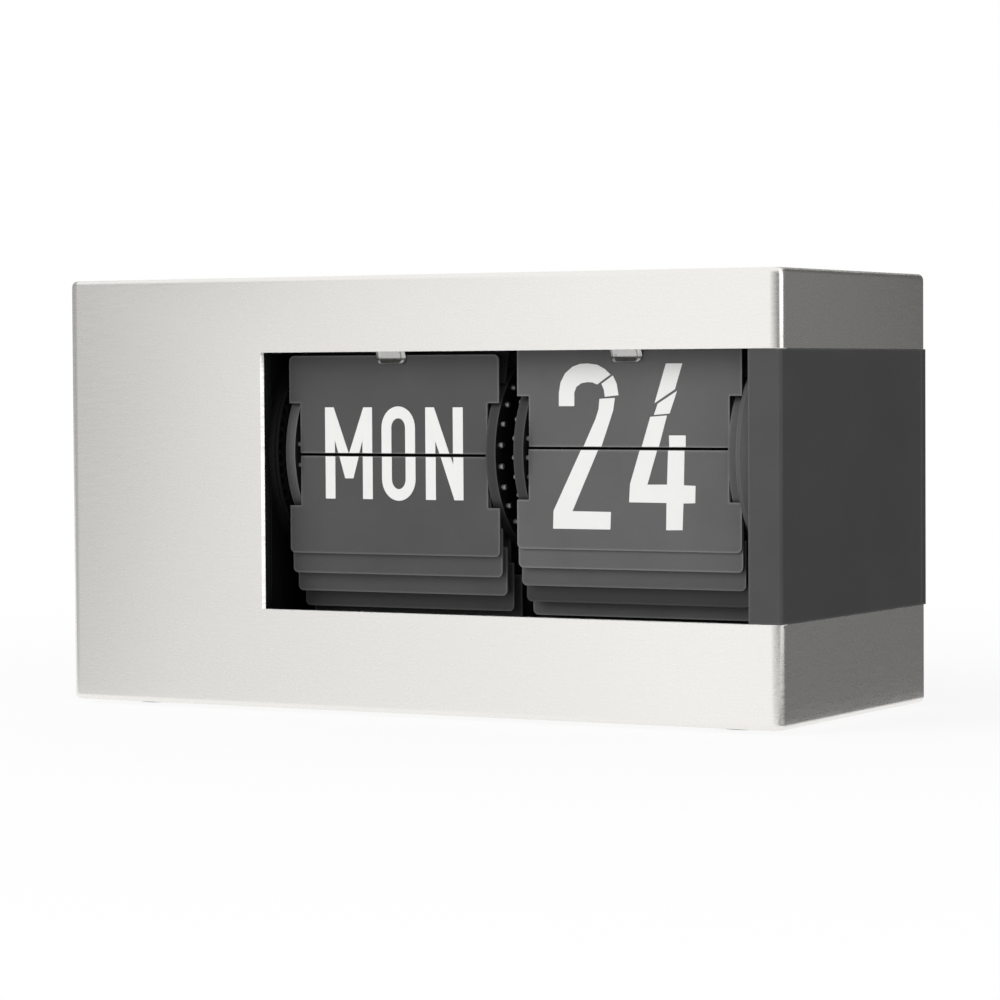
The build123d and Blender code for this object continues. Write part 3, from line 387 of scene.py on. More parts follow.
# The inner case: painted shade darkens the faces inside it.
CASE_PLASTIC_PAINTED_SHADE = plastic("case_plastic", 0.047, *CASE_GRAIN, wear_and_highlight=0.9, dark=(painted_shade_in_case_room, 0.006))
HOLDER = plastic("holder_black", (0.030, 0.030, 0.031), 0.5, 2600.0, 0.000024)
DAY_LEAF = plastic("day_leaf_grey", 0.057, *LEAF_GRAIN, wear_and_highlight=1.2)
DATE_LEAF = plastic("date_leaf_grey", 0.089, *LEAF_GRAIN, wear_and_highlight=1.0)
# Hanging leaves that the photograph shows in the shade of the others.
SHADED_LEAVES = {
    ("date", 3): plastic("date_leaf_3_grey", 0.070, *LEAF_GRAIN, wear_and_highlight=0.8),
    ("date", 4): plastic("date_leaf_4_grey", 0.028, 0.48, *LEAF_GRAIN[1:], wear_and_highlight=0.9),
    ("day", 4): plastic("day_leaf_4_grey", 0.042, 0.48, *LEAF_GRAIN[1:], wear_and_highlight=1.0),
}
# Stored leaves behind the drum: a darker copy of the leaf plastic, painted shade.
STORED_LEAF_PAINTED_SHADE = plastic("stored_leaf_grey", 0.020, 0.55, *LEAF_GRAIN[1:3], 0.10, gloss=0.3)
DRUM = plastic("drum_black", 0.034, *DRUM_GRAIN, wear_and_highlight=0.7, gloss=0.4)
# Disc plastic: painted shade darkens the flat sides; the outer discs are a lighter copy, with
# painted light on their rims.
INNER_DISC_PAINTED_SHADE = plastic("drum_disc_black", 0.034, *DRUM_GRAIN, wear_and_highlight=0.7, gloss=0.25,
                     dark=(painted_shade_on_flat_side, 0.006))
OUTER_DISC_PAINTED_LIGHT_AND_SHADE = plastic("outer_disc_black", 0.078, *DRUM_GRAIN, wear_and_highlight=0.7, gloss=0.3,
                     dark=(painted_shade_on_flat_side, 0.006))
# Gear guards: the right one a lighter copy of the black plastic, painted light; the left one
# darkened, painted shade.
GUARD_PAINTED_LIGHT_AND_SHADE = plastic("guard_black", 0.082, 0.50, *DRUM_GRAIN[1:], wear_and_highlight=0.6, gloss=0.1,
                dark=(painted_shade_on_left_half, 0.004))
# Gears inside: a far darker copy of the drum plastic, painted shade.
GEAR_PAINTED_SHADE = plastic("inner_black", 0.004, 0.60, *DRUM_GRAIN[1:], gloss=0.06)
LETTER = plastic("letter_white", (0.78, 0.78, 0.77), 0.5, 5200.0, 0.000006, 0.015)
GEARBOX = plastic("gearbox_grey", (0.52, 0.52, 0.49), 0.45, 2400.0, 0.00002, 0.05)
COMPONENT = plastic("component_black", (0.022, 0.022, 0.023), 0.38, 5200.0, 0.00001)
RUBBER = plastic("foot_rubber", 0.028, 0.72, 2200.0, 0.00004, 0.2)
CLIP = metal("clip_steel", (0.60, 0.595, 0.58), 0.36, 900.0, (2.0, 2.0, 0.1))
PLATE = metal("plate_steel", (0.045, 0.045, 0.045), 0.5, 700.0, (1.0, 2.0, 0.12))
ROD = metal("rod_steel", (0.66, 0.655, 0.645), 0.24, 1400.0, (1.0, 0.3, 0.3))
SCREW = metal("screw_steel", (0.48, 0.475, 0.465), 0.3, 1600.0)
MOTOR = metal("motor_steel", (0.58, 0.575, 0.565), 0.3, 900.0, (1.4, 0.2, 0.2))
NICKEL = metal("contact_nickel", (0.72, 0.70, 0.66), 0.22, 900.0, (0.2, 1.5, 1.5))
PIN = metal("pin_steel", (0.34, 0.335, 0.33), 0.5, 1800.0)
BOARD = board_green()
JACKET = battery_jacket()

# The finish of each material slot in the record.
FINISH_OF = {
    "sleeve_steel": STEEL, "case_black": CASE, "holder_black": HOLDER, "drum_black": DRUM,
    "leaf_grey": DAY_LEAF, "clip_steel": CLIP, "plate_steel": PLATE, "rod_steel": ROD,
    "screw_steel": SCREW, "foot_rubber": RUBBER, "battery_jacket": JACKET,
    "contact_nickel": NICKEL, "gearbox_grey": GEARBOX, "motor_steel": MOTOR,
    "board_green": BOARD, "component_black": COMPONENT,
}


# Making pieces

# Faces that meet at more degrees than this meet at an edge: in a node, and in a turned shape.
SHARP = 32.0
TURNED_SHARP = 38.0


def new_piece(name, mesh, material):
    piece = bpy.data.objects.new(name, mesh)
    bpy.context.scene.collection.objects.link(piece)
    mesh.materials.clear()
    mesh.materials.append(material)
    return piece


def plain_mesh(work, name):
    """Ends the work on a shape and keeps it as a mesh."""
    mesh = bpy.data.meshes.new(name)
    work.to_mesh(mesh)
    work.free()
    return mesh


def settle(piece):
    """Turns a piece and its modifiers into one plain mesh."""
    graph = bpy.context.evaluated_depsgraph_get()
    mesh = bpy.data.meshes.new_from_object(piece.evaluated_get(graph))
    piece.modifiers.clear()
    mesh.name = piece.name
    piece.data = mesh


def hand_over(piece, body, slot, *replaced):
    """Attaches a piece to the body it rides and hides the nodes that it stands for; its slot is not
    used.
    """
    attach(piece, body)
    if replaced:
        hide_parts(*replaced)


def soften(piece, edge, angle=SHARP, even_faces=True):
    """Breaks the sharp edges by a small rounding."""
    bevel = piece.modifiers.new("edge", "BEVEL")
    bevel.width = edge * MM
    bevel.segments = 2
    bevel.limit_method = "ANGLE"
    bevel.angle_limit = math.radians(angle)
    bevel.use_clamp_overlap = True
    if even_faces:
        even = piece.modifiers.new("even", "WEIGHTED_NORMAL")
        even.mode = "FACE_AREA"
        even.weight = 100
        even.keep_sharp = True
    else:
        bevel.harden_normals = True
    settle(piece)


def merged_copy(node):
    """A copy of a node's mesh, its loose triangles joined into whole faces."""
    mesh = NODES[node].data.copy()
    work = bmesh.new()
    work.from_mesh(mesh)
    bmesh.ops.remove_doubles(work, verts=work.verts, dist=0.000003)
    bmesh.ops.dissolve_limit(
        work, angle_limit=math.radians(0.3), verts=work.verts, edges=work.edges
    )
    work.to_mesh(mesh)
    work.free()
    return mesh


def dressed(node, edge, material=None):
    """Stands for a node of the frame: the same shape with softened edges."""
    slot = next(row["material_slot"] for row in frame["record"]["subparts"] if row["node"] == node)
    mesh = merged_copy(node)
    for face in mesh.polygons:
        face.use_smooth = True
    mesh.set_sharp_from_angle(angle=math.radians(SHARP))
    piece = new_piece(node + "_finished", mesh, material or FINISH_OF[slot])
    soften(piece, edge, even_faces=node != "steel_sleeve")
    hand_over(piece, NODES[node]["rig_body"], slot, node)


def instance_tree(name):
    """Sets one pattern on every point, each turned a little about its own axis."""
    tree = bpy.data.node_groups.new(name, "GeometryNodeTree")
    face = tree.interface
    face.new_socket("Geometry", in_out="INPUT", socket_type="NodeSocketGeometry")
    face.new_socket("Pattern", in_out="INPUT", socket_type="NodeSocketObject")
    face.new_socket("Finish", in_out="INPUT", socket_type="NodeSocketMaterial")
    face.new_socket("Aim", in_out="INPUT", socket_type="NodeSocketVector")
    face.new_socket("Turn", in_out="INPUT", socket_type="NodeSocketFloat")
    face.new_socket("Geometry", in_out="OUTPUT", socket_type="NodeSocketGeometry")
    made, wire = tree.nodes.new, tree.links.new
    inlet, outlet = made("NodeGroupInput"), made("NodeGroupOutput")
    info = made("GeometryNodeObjectInfo")
    spread = made("GeometryNodeInstanceOnPoints")
    chance = made("FunctionNodeRandomValue")
    chance.data_type = "FLOAT"
    chance.inputs["Seed"].default_value = 7
    spin = made("ShaderNodeCombineXYZ")
    local = made("GeometryNodeRotateInstances")
    solid = made("GeometryNodeRealizeInstances")
    paint = made("GeometryNodeSetMaterial")
    wire(inlet.outputs["Geometry"], spread.inputs["Points"])
    wire(inlet.outputs["Pattern"], info.inputs["Object"])
    wire(info.outputs["Geometry"], spread.inputs["Instance"])
    float_max = [s for s in chance.inputs if s.name == "Max" and s.type == "VALUE"][0]
    wire(inlet.outputs["Turn"], float_max)
    float_value = [s for s in chance.outputs if s.type == "VALUE"][0]
    wire(float_value, spin.inputs["Z"])
    wire(inlet.outputs["Aim"], spread.inputs["Rotation"])
    wire(spread.outputs[0], local.inputs["Instances"])
    wire(spin.outputs[0], local.inputs["Rotation"])
    local.inputs["Local Space"].default_value = True
    wire(local.outputs[0], solid.inputs["Geometry"])
    wire(solid.outputs[0], paint.inputs["Geometry"])
    wire(inlet.outputs["Finish"], paint.inputs["Material"])
    wire(paint.outputs[0], outlet.inputs[0])
    return tree


def lathe(profile, sides, name):
    """A closed turned shape about Z from (radius, height) pairs in millimetres."""
    work = bmesh.new()
    rings = []
    for radius, height in profile:
        if radius == 0.0:
            rings.append([work.verts.new((0.0, 0.0, height * MM))])
            continue
        ring = []
        for k in range(sides):
            angle = 2.0 * math.pi * k / sides
            ring.append(work.verts.new(
                (radius * math.cos(angle) * MM, radius * math.sin(angle) * MM, height * MM)
            ))
        rings.append(ring)
    for low, high in zip(rings, rings[1:]):
        for k in range(sides):
            follow = (k + 1) % sides
            if len(low) == 1:
                work.faces.new((low[0], high[follow], high[k]))
            elif len(high) == 1:
                work.faces.new((low[k], low[follow], high[0]))
            else:
                work.faces.new((low[k], low[follow], high[follow], high[k]))
    bmesh.ops.recalc_face_normals(work, faces=work.faces)
    mesh = plain_mesh(work, name)
    for face in mesh.polygons:
        face.use_smooth = True
    mesh.set_sharp_from_angle(angle=math.radians(TURNED_SHARP))
    return mesh


def screw_pattern(name, head, top, shank, length):
    """A cross-head screw about Z: its seat at 0, the head above, the shank below."""
    sides = 24
    work = bmesh.new()
    lip = 0.16 * top + 0.06

    def ring(radius, level):
        return [
            work.verts.new((radius * math.cos(2 * math.pi * k / sides) * MM,
                            radius * math.sin(2 * math.pi * k / sides) * MM, level * MM))
            for k in range(sides)
        ]

    def skin(low, high):
        for k in range(sides):
            work.faces.new((low[k], low[(k + 1) % sides], high[(k + 1) % sides], high[k]))

    foot, neck = ring(shank * 0.8, -length), ring(shank, -length + 0.3)
    collar, seat = ring(shank, 0.0), ring(head, 0.0)
    side, crown = ring(head, top - lip), ring(head - 0.4 * lip, top - 0.25 * lip)
    face = ring(head - lip, top)
    work.faces.new(list(reversed(foot)))
    for low, high in ((foot, neck), (neck, collar), (collar, seat), (seat, side), (side, crown),
                      (crown, face)):
        skin(low, high)
    arm, half = head * 0.62, head * 0.15
    cross = [(arm, -half), (arm, half), (half, half), (half, arm), (-half, arm), (-half, half)]
    cross += [(-x, -y) for x, y in cross]
    rim = [work.verts.new((x * MM, y * MM, top * MM)) for x, y in cross]
    depth = 0.45 * top
    floor = [work.verts.new((x * 0.72 * MM, y * 0.72 * MM, depth * MM)) for x, y in cross]
    count = len(cross)
    for k in range(count):
        follow = (k + 1) % count
        work.faces.new((rim[follow], rim[k], floor[k], floor[follow]))
    work.faces.new(floor)
    edges = [work.edges.get((face[k], face[(k + 1) % sides])) for k in range(sides)]
    edges += [work.edges.get((rim[k], rim[(k + 1) % count])) for k in range(count)]
    bmesh.ops.triangle_fill(work, use_beauty=True, use_dissolve=False, edges=edges)
    bmesh.ops.recalc_face_normals(work, faces=work.faces)
    return bpy.data.objects.new(name, plain_mesh(work, name))


# Lettering: outlines on a leaf's face, x from the leaf's middle, z from the sleeve's underside

FIGURE_TWO = [
    [(-16.43, 66.54), (-16.41, 69.38), (-16.0, 71.6), (-14.9, 73.5), (-13.1, 74.9), (-11.3, 75.5),
     (-9.46, 75.58), (-7.2, 75.3), (-5.4, 74.4), (-4.01, 73.21), (-5.6, 72.2), (-7.21, 71.11),
     (-8.3, 71.55), (-9.48, 71.63), (-11.0, 71.4), (-12.2, 70.6), (-12.70, 69.37), (-12.71, 66.54)],
    [(-6.19, 71.25), (-3.47, 73.01), (-2.6, 71.4), (-2.13, 68.85), (-5.40, 68.51), (-5.6, 70.0)],
    [(-6.68, 68.09), (-3.02, 68.28), (-3.4, 65.7), (-4.31, 63.21), (-6.25, 58.0), (-10.54, 58.0),
     (-7.66, 63.77), (-6.9, 65.9)],
    [(-10.81, 57.7), (-6.74, 57.7), (-13.13, 44.25), (-3.93, 44.2), (-4.08, 40.48), (-17.84, 40.46),
     (-17.72, 44.26)],
]
FIGURE_FOUR = [
    [(9.05, 75.47), (12.88, 75.45), (11.15, 70.08), (6.36, 67.16)],
    [(7.08, 67.02), (11.62, 69.72), (9.88, 64.98), (6.19, 64.69)],
    [(5.34, 64.30), (9.26, 64.59), (7.35, 58.0), (3.30, 58.0)],
    [(9.71, 60.40), (13.61, 60.42), (13.60, 58.0), (9.77, 58.0)],
    [(3.09, 57.7), (7.18, 57.7), (4.73, 50.06), (9.34, 50.12), (9.62, 57.7), (13.45, 57.7),
     (13.27, 50.02), (15.97, 49.91), (15.90, 46.29), (13.16, 46.20), (12.93, 40.62), (9.09, 40.55),
     (9.20, 46.26), (0.39, 46.30), (0.63, 50.16)],
]
LETTER_M = [
    [(-17.3, 46.2), (-17.3, 66.3), (-15.06, 66.3), (-11.2, 56.1), (-7.43, 66.3), (-5.2, 66.3),
     (-5.2, 46.2), (-7.7, 46.2), (-7.7, 59.1), (-10.15, 50.7), (-12.26, 50.7), (-14.8, 59.1),
     (-14.8, 46.2)],
]
LETTER_N = [
    [(8.3, 46.2), (8.3, 66.3), (10.5, 66.3), (15.2, 53.9), (15.2, 66.3), (17.7, 66.3),
     (17.7, 46.2), (15.45, 46.2), (10.8, 59.0), (10.8, 46.2)],
]
LETTER_T = [
    [(-17.1, 66.3), (-17.1, 63.8), (-13.2, 63.8), (-13.2, 46.2), (-10.7, 46.2), (-10.7, 63.8),
     (-6.8, 63.8), (-6.8, 66.3)],
]
LETTER_E = [
    [(8.6, 46.2), (8.6, 66.3), (16.8, 66.3), (16.8, 63.8), (11.1, 63.8), (11.1, 57.7),
     (15.8, 57.7), (15.8, 55.2), (11.1, 55.2), (11.1, 48.7), (16.8, 48.7), (16.8, 46.2)],
]
# The ink's thickness, its distance from the line between two leaves, the sides of an arch,
# and levels below and above every sign.
INK = 0.05
GAP_EDGE = 0.10
ROUND_STEPS = 18
SIGN_FOOT, SIGN_TOP = 20.0, 90.0


def arch(middle, level, outer, inner, start, end):
    """Quads of a bent stroke between two half-ellipses, from one angle to the other."""
    parts = []
    for k in range(ROUND_STEPS):
        corners = []
        for radii, which in ((outer, k), (outer, k + 1), (inner, k + 1), (inner, k)):
            angle = math.radians(start + (end - start) * which / ROUND_STEPS)
            x, z = radii[0] * math.cos(angle), radii[1] * math.sin(angle)
            corners.append((middle + x, level + z))
        parts.append(corners)
    return parts


def pillars(middle, outer, inner, low, high):
    """The two upright strokes of a round letter."""
    sides = ((middle - outer, middle - inner), (middle + inner, middle + outer))
    return [[(left, low), (left, high), (right, high), (right, low)] for left, right in sides]


def letter_o():
    over = arch(1.45, 61.8, (4.25, 4.71), (1.75, 2.11), 0.0, 180.0)
    under = arch(1.45, 50.7, (4.25, 4.78), (1.75, 2.24), 180.0, 360.0)
    return pillars(1.45, 4.25, 1.75, 50.7, 61.8) + over + under


def letter_u():
    under = arch(1.3, 50.8, (4.4, 4.9), (1.9, 2.4), 180.0, 360.0)
    return pillars(1.3, 4.4, 1.9, 50.8, 66.3) + under


def figure_five():
    bar = [(2.0, 75.5), (14.8, 75.5), (14.8, 71.6), (5.9, 71.6), (5.7, 63.6), (1.8, 63.6)]
    bend = (7.9, 52.0, (8.2, 11.6), (4.2, 7.8))
    bowl = arch(*bend, -165.0, -30.0) + arch(*bend, -30.0, 105.0)
    outer_end, inner_end = bowl[-1][1], bowl[-1][2]
    shoulder = [(1.8, 63.6), (5.7, 63.6), outer_end, inner_end, (5.6, 58.9), (4.7, 57.7),
                (1.6, 57.7)]
    return [bar, shoulder] + bowl


def whole_two():
    """The plain figure 2, with no breaks in its stroke."""
    hook = arch(-9.4, 68.9, (7.1, 6.7), (3.4, 2.8), 0.0, 180.0)
    lead = [(-16.5, 66.5), (-16.5, 68.9), (-12.8, 68.9), (-12.8, 66.5)]
    stem = [(-2.3, 68.9), (-2.9, 65.4), (-4.31, 62.0), (-13.13, 44.2), (-3.93, 44.2), (-4.0, 40.5),
            (-17.84, 40.5), (-17.72, 44.26), (-7.9, 63.4), (-6.4, 66.6), (-6.0, 68.9)]
    return hook + [lead, stem]


def lettering(outlines, low, high, name):
    """Thin printed shapes on an upright face: outlines kept between two heights."""
    work = bmesh.new()
    for outline in outlines:
        work.faces.new([work.verts.new((x, 0.0, z)) for x, z in outline])
    bmesh.ops.remove_doubles(work, verts=work.verts, dist=0.0005)
    for level, side in ((high, 1.0), (low, -1.0)):
        bmesh.ops.bisect_plane(
            work, geom=list(work.verts) + list(work.edges) + list(work.faces), dist=0.0001,
            plane_co=(0.0, 0.0, level), plane_no=(0.0, 0.0, side), clear_outer=True
        )
    flat = list(work.faces)
    for face in flat:
        face.normal_update()
        if face.normal.y > 0:
            face.normal_flip()
    lifted = bmesh.ops.extrude_face_region(work, geom=flat, use_keep_orig=True)
    # The new faces come in another order each run: sorted, the mesh is always the same.
    in_order = sorted(work.faces, key=lambda face: tuple(face.calc_center_median()))
    for k, face in enumerate(in_order):
        face.index = k
    work.faces.sort()
    for item in lifted["geom"]:
        if isinstance(item, bmesh.types.BMVert):
            item.co.y -= INK
    bmesh.ops.triangulate(work, faces=[f for f in work.faces if len(f.verts) > 4])
    bmesh.ops.recalc_face_normals(work, faces=work.faces)
    return plain_mesh(work, name)


def printed(middle, outlines, low, high, pin, name, body, travel=None):
    """Lettering on the front of an upright leaf, or taken from there to another leaf."""
    face_y = pin[0] - LEAF_THICKNESS / 2
    mesh = lettering(outlines, low, high, name)
    mesh.transform(Matrix.Translation((middle, face_y, 0.0)))
    if travel is not None:
        mesh.transform(travel)
    mesh.transform(Matrix.Scale(MM, 4))
    mesh.transform(Matrix.Translation(CORNER))
    hand_over(new_piece(name, mesh, LETTER), body, "leaf_grey")


def about(axis, angle):
    """A turn about a line along X through (y, z), in millimetres."""
    there = Matrix.Translation((0.0, axis[0], axis[1]))
    return there @ Matrix.Rotation(math.radians(angle), 4, "X") @ there.inverted()


def leaf_faces(kind, shown, following):
    """The shown sign is split over two leaves; the next one waits behind it."""
    drum = DRUMS[kind]
    step = 360.0 / drum["leaves"]
    top_pin, low_pin = pin_place(drum["top"]), pin_place(drum["top"] - step)
    above = top_pin[1] - drum["tail"] + GAP_EDGE
    below = low_pin[1] + drum["tail"] - GAP_EDGE
    middle = drum["middle"]
    printed(middle, shown, above, SIGN_TOP, top_pin, kind + "_sign_upper", kind + "_top_leaf")
    printed(middle, shown, SIGN_FOOT, below, low_pin, kind + "_sign_lower", kind + "_leaf_1")
    # The back of the standing leaf: where its face comes to lie once it has fallen.
    fallen = Matrix.Translation((0.0, top_pin[0] - low_pin[0], top_pin[1] - low_pin[1]))
    printed(middle, following, SIGN_FOOT, below, low_pin, kind + "_next_lower",
            kind + "_top_leaf", about(top_pin, 180.0) @ fallen)
    printed(middle, following, above, SIGN_TOP, top_pin, kind + "_next_upper",
            kind + "_drum", about(AXIS, -step))


leaf_faces("day", LETTER_M + letter_o() + LETTER_N, LETTER_T + letter_u() + LETTER_E)
leaf_faces("date", FIGURE_TWO + FIGURE_FOUR, whole_two() + figure_five())


# Sleeve, case and cover

dressed("steel_sleeve", 0.35)
dressed("inner_case", 0.16, CASE_PLASTIC_PAINTED_SHADE)
dressed("rear_cover", 0.18)
dressed("battery_door", 0.18)
dressed("battery_holder", 0.15)
for kind in DRUMS:
    grey = {"day": DAY_LEAF, "date": DATE_LEAF}[kind]
    dressed(kind + "_top_flap", 0.12, grey)
    for number in range(1, 6):
        dressed(kind + "_flap_%d" % number, 0.12, SHADED_LEAVES.get((kind, number), grey))
    dressed(kind + "_stored_flaps", 0.07, STORED_LEAF_PAINTED_SHADE)
    dressed(kind + "_left_disc", 0.16, OUTER_DISC_PAINTED_LIGHT_AND_SHADE if kind == "day" else INNER_DISC_PAINTED_SHADE)
    dressed(kind + "_right_disc", 0.16, OUTER_DISC_PAINTED_LIGHT_AND_SHADE if kind == "date" else INNER_DISC_PAINTED_SHADE)
    dressed(kind + "_hub", 0.15)
    dressed(kind + "_gear", 0.10, GEAR_PAINTED_SHADE)
    dressed(kind + "_set_wheel", 0.12)
    dressed(kind + "_finger_wheel", 0.12)
dressed("gear_guards", 0.12, GUARD_PAINTED_LIGHT_AND_SHADE)
for node, edge in (
    ("left_side_plate", 0.10), ("right_side_plate", 0.10),
    ("tie_rods", 0.12), ("drum_axle", 0.2),
    ("axle_clips", 0.08), ("axle_spacers", 0.12), ("wheel_rod", 0.15), ("wheel_collars", 0.15),
    ("clip_rail", 0.10), ("gearbox", 0.25), ("drive_shaft", 0.2), ("circuit_board", 0.06),
    ("board_parts", 0.25), ("contact_top", 0.06), ("contact_bottom", 0.06), ("sleeve_screws", 0.06),
):
    dressed(node, edge)


# Screws, rivets, pin ends and ribs: what repeats

def toward(axis):
    """The turn that lays a pattern's Z along an axis."""
    quarter = math.radians(90.0)
    return {"+X": (0.0, quarter, 0.0), "-X": (0.0, -quarter, 0.0), "+Y": (-quarter, 0.0, 0.0),
            "+Z": (0.0, 0.0, 0.0)}[axis]


def set_out(name, material, pattern, axis, points, turn):
    """Sets a pattern on each of the points by Geometry Nodes and keeps the plain mesh."""
    mesh = bpy.data.meshes.new(name)
    mesh.from_pydata([tuple(place(*p)) for p in points], [], [])
    piece = new_piece(name, mesh, material)
    tree = bpy.data.node_groups.get("set_out") or instance_tree("set_out")
    modifier = piece.modifiers.new("grow", "NODES")
    modifier.node_group = tree
    values = {"Pattern": pattern, "Finish": material, "Aim": toward(axis), "Turn": turn}
    for item in tree.interface.items_tree:
        if item.item_type == "SOCKET" and item.in_out == "INPUT" and item.name in values:
            modifier[item.identifier] = values[item.name]
    settle(piece)
    bpy.data.objects.remove(pattern)
    return piece


def screws(node, axis, points, head, top, shank, length):
    """Screws in a row of places, each turned by chance about its own axis."""
    pattern = screw_pattern(node + "_pattern", head, top, shank, length)
    piece = set_out(node + "_finished", SCREW, pattern, axis, points, 6.2)
    hand_over(piece, "case", "screw_steel", node)


screws("cover_screws", "+Y", [(14, 75.2, 7), (46, 75.2, 88), (160, 75.2, 7), (160, 75.2, 88)],
       2.55, 1.15, 1.3, 5.8)
screws("frame_screws", "+Z", [(x, y, 5.0) for x in (45.8, 166.6) for y in (20, 44)],
       2.4, 1.2, 1.2, 1.8)
screws("board_screws", "+Y", [(x, 9.6, z) for x in (11.5, 40.5) for z in (47.5, 80.5)],
       1.8, 0.9, 0.9, 2.6)
screws("rail_screws", "+Y", [(x, 4.7, 85.3) for x in (60.0, 110.6, 161.9)], 1.8, 0.9, 0.9, 2.6)
screws("motor_screws", "+X", [(51.3, 45.0, 31.5), (51.3, 60.0, 16.5)], 1.8, 0.9, 0.9, 2.6)


def domed_pin(name, radius, proud, root):
    profile = [(0.0, -root), (radius, -root), (radius, proud - 0.55 * radius),
               (0.86 * radius, proud - 0.22 * radius), (0.5 * radius, proud - 0.06 * radius),
               (0.0, proud)]
    return bpy.data.objects.new(name, lathe(profile, 14, name))


def pin_ends(kind):
    """The ends of the leaves' pins, in a ring on the outer side of each disc."""
    drum = DRUMS[kind]
    for side, axis, edge in zip(("left", "right"), ("-X", "+X"), drum["edges"]):
        inward = (kind, side) in (("day", "right"), ("date", "left"))
        pattern = domed_pin("pin_end", 0.64, 0.85 if inward else 0.42, 0.05)
        points = []
        for k in range(drum["leaves"]):
            y, z = pin_place(drum["top"] + 360.0 * k / drum["leaves"])
            points.append((edge, y, z))
        name = "%s_%s_pin_ends" % (kind, side)
        piece = set_out(name, PIN, pattern, axis, points, 0.0)
        hand_over(piece, kind + "_drum", "rod_steel")


pin_ends("day")
pin_ends("date")

rivet = domed_pin("rivet", 0.8, 0.5, 0.0)
rivet_points = [(DRUMS[kind]["middle"] + dx, 5.05, 85.3) for kind in DRUMS for dx in (-1.8, 1.8)]
hand_over(set_out("clip_rivets_finished", CLIP, rivet, "+Y", rivet_points, 0.0),
          "case", "clip_steel", "clip_rivets")


def door_ribs():
    """Five grip ribs across the battery door, under its finger recess."""
    profile = [(0.0, -8.0), (0.34, -7.85), (0.42, -7.5), (0.42, 7.5), (0.34, 7.85), (0.0, 8.0)]
    bar = lathe(profile, 10, "rib")
    bar.transform(Matrix.Rotation(math.radians(90.0), 4, "X"))
    bar.transform(Matrix.Rotation(math.radians(90.0), 4, "Z"))
    pattern = bpy.data.objects.new("rib", bar)
    points = [(24.0, 76.32, 82.4 - 1.9 * k) for k in range(5)]
    piece = set_out("battery_door_ribs", CASE, pattern, "+Z", points, 0.0)
    hand_over(piece, "battery_door", "case_black")


door_ribs()


# Spring clips: a bent strip with a rib pressed along each side and rounded lower corners

CLIP_SHEET = 0.3
CLIP_GAP = 0.03


def spring_clip(kind):
    middle = DRUMS[kind]["middle"]
    face = pin_place(DRUMS[kind]["top"])[0] - LEAF_THICKNESS / 2
    touch = face - CLIP_GAP - CLIP_SHEET / 2
    path = [(4.875, 89.4), (4.875, 85.2), (4.875, 81.6), (4.95, 81.1), (5.2, 80.5), (5.8, 79.15),
            (touch - 0.1, 77.6), (touch, 77.2), (touch, 76.95), (touch - 0.12, 76.6),
            (touch - 0.25, 76.35), (touch - 0.38, 76.1), (touch - 0.46, 75.95),
            (touch - 0.5, 75.88)]
    half, corner = 3.6, 0.95
    columns = [-1.0, -0.97, -0.90, -0.84, -0.78, -0.72, -0.66, -0.3, 0.3, 0.66, 0.72, 0.78, 0.84,
               0.90, 0.97, 1.0]
    rib = {0.97: 0.02, 0.90: 0.16, 0.84: 0.26, 0.78: 0.26, 0.72: 0.14, 0.66: 0.0}
    tip = path[-1][1]
    work = bmesh.new()
    rows = []
    for y, z in path:
        rise = min(corner, z - tip)
        width = half - corner + math.sqrt(max(0.0, corner ** 2 - (corner - rise) ** 2))
        fade = min(1.0, max(0.0, (82.7 - z) / 1.0)) * min(1.0, (z - tip + 0.05) / 0.8)
        rows.append([
            work.verts.new(place(middle + u * width, y - rib.get(abs(u), 0.0) * fade, z))
            for u in columns
        ])
    for high, low in zip(rows, rows[1:]):
        for k in range(len(columns) - 1):
            work.faces.new((high[k], low[k], low[k + 1], high[k + 1]))
    bmesh.ops.recalc_face_normals(work, faces=work.faces)
    name = kind + "_clip_finished"
    piece = new_piece(name, plain_mesh(work, name), CLIP)
    wall = piece.modifiers.new("wall", "SOLIDIFY")
    wall.thickness = CLIP_SHEET * MM
    wall.offset = 0.0
    settle(piece)
    soften(piece, 0.05, 40.0)
    hand_over(piece, "case", "clip_steel", kind + "_flap_clip")


spring_clip("day")
spring_clip("date")


# Feet, battery and motor: turned shapes

def turned(name, profile, sides, spot, axis, material):
    mesh = lathe(profile, sides, name)
    turn = Matrix.Rotation(math.radians(90.0), 4, "Y") if axis == "+X" else Matrix.Identity(4)
    mesh.transform(Matrix.Translation(place(*spot)) @ turn)
    return new_piece(name, mesh, material)


def rubber_feet():
    profile = [(0.0, -0.8), (3.0, -0.8), (3.3, -1.0), (5.3, -1.0), (5.75, -0.9), (6.0, -0.6),
               (6.0, 0.0), (0.0, 0.0)]
    pattern = bpy.data.objects.new("foot", lathe(profile, 40, "foot"))
    points = [(x, y, 0.0) for x in (15, SLEEVE_WIDTH - 15) for y in (15, 60)]
    piece = set_out("rubber_feet_finished", RUBBER, pattern, "+Z", points, 0.0)
    hand_over(piece, "case", "foot_rubber", "rubber_feet")


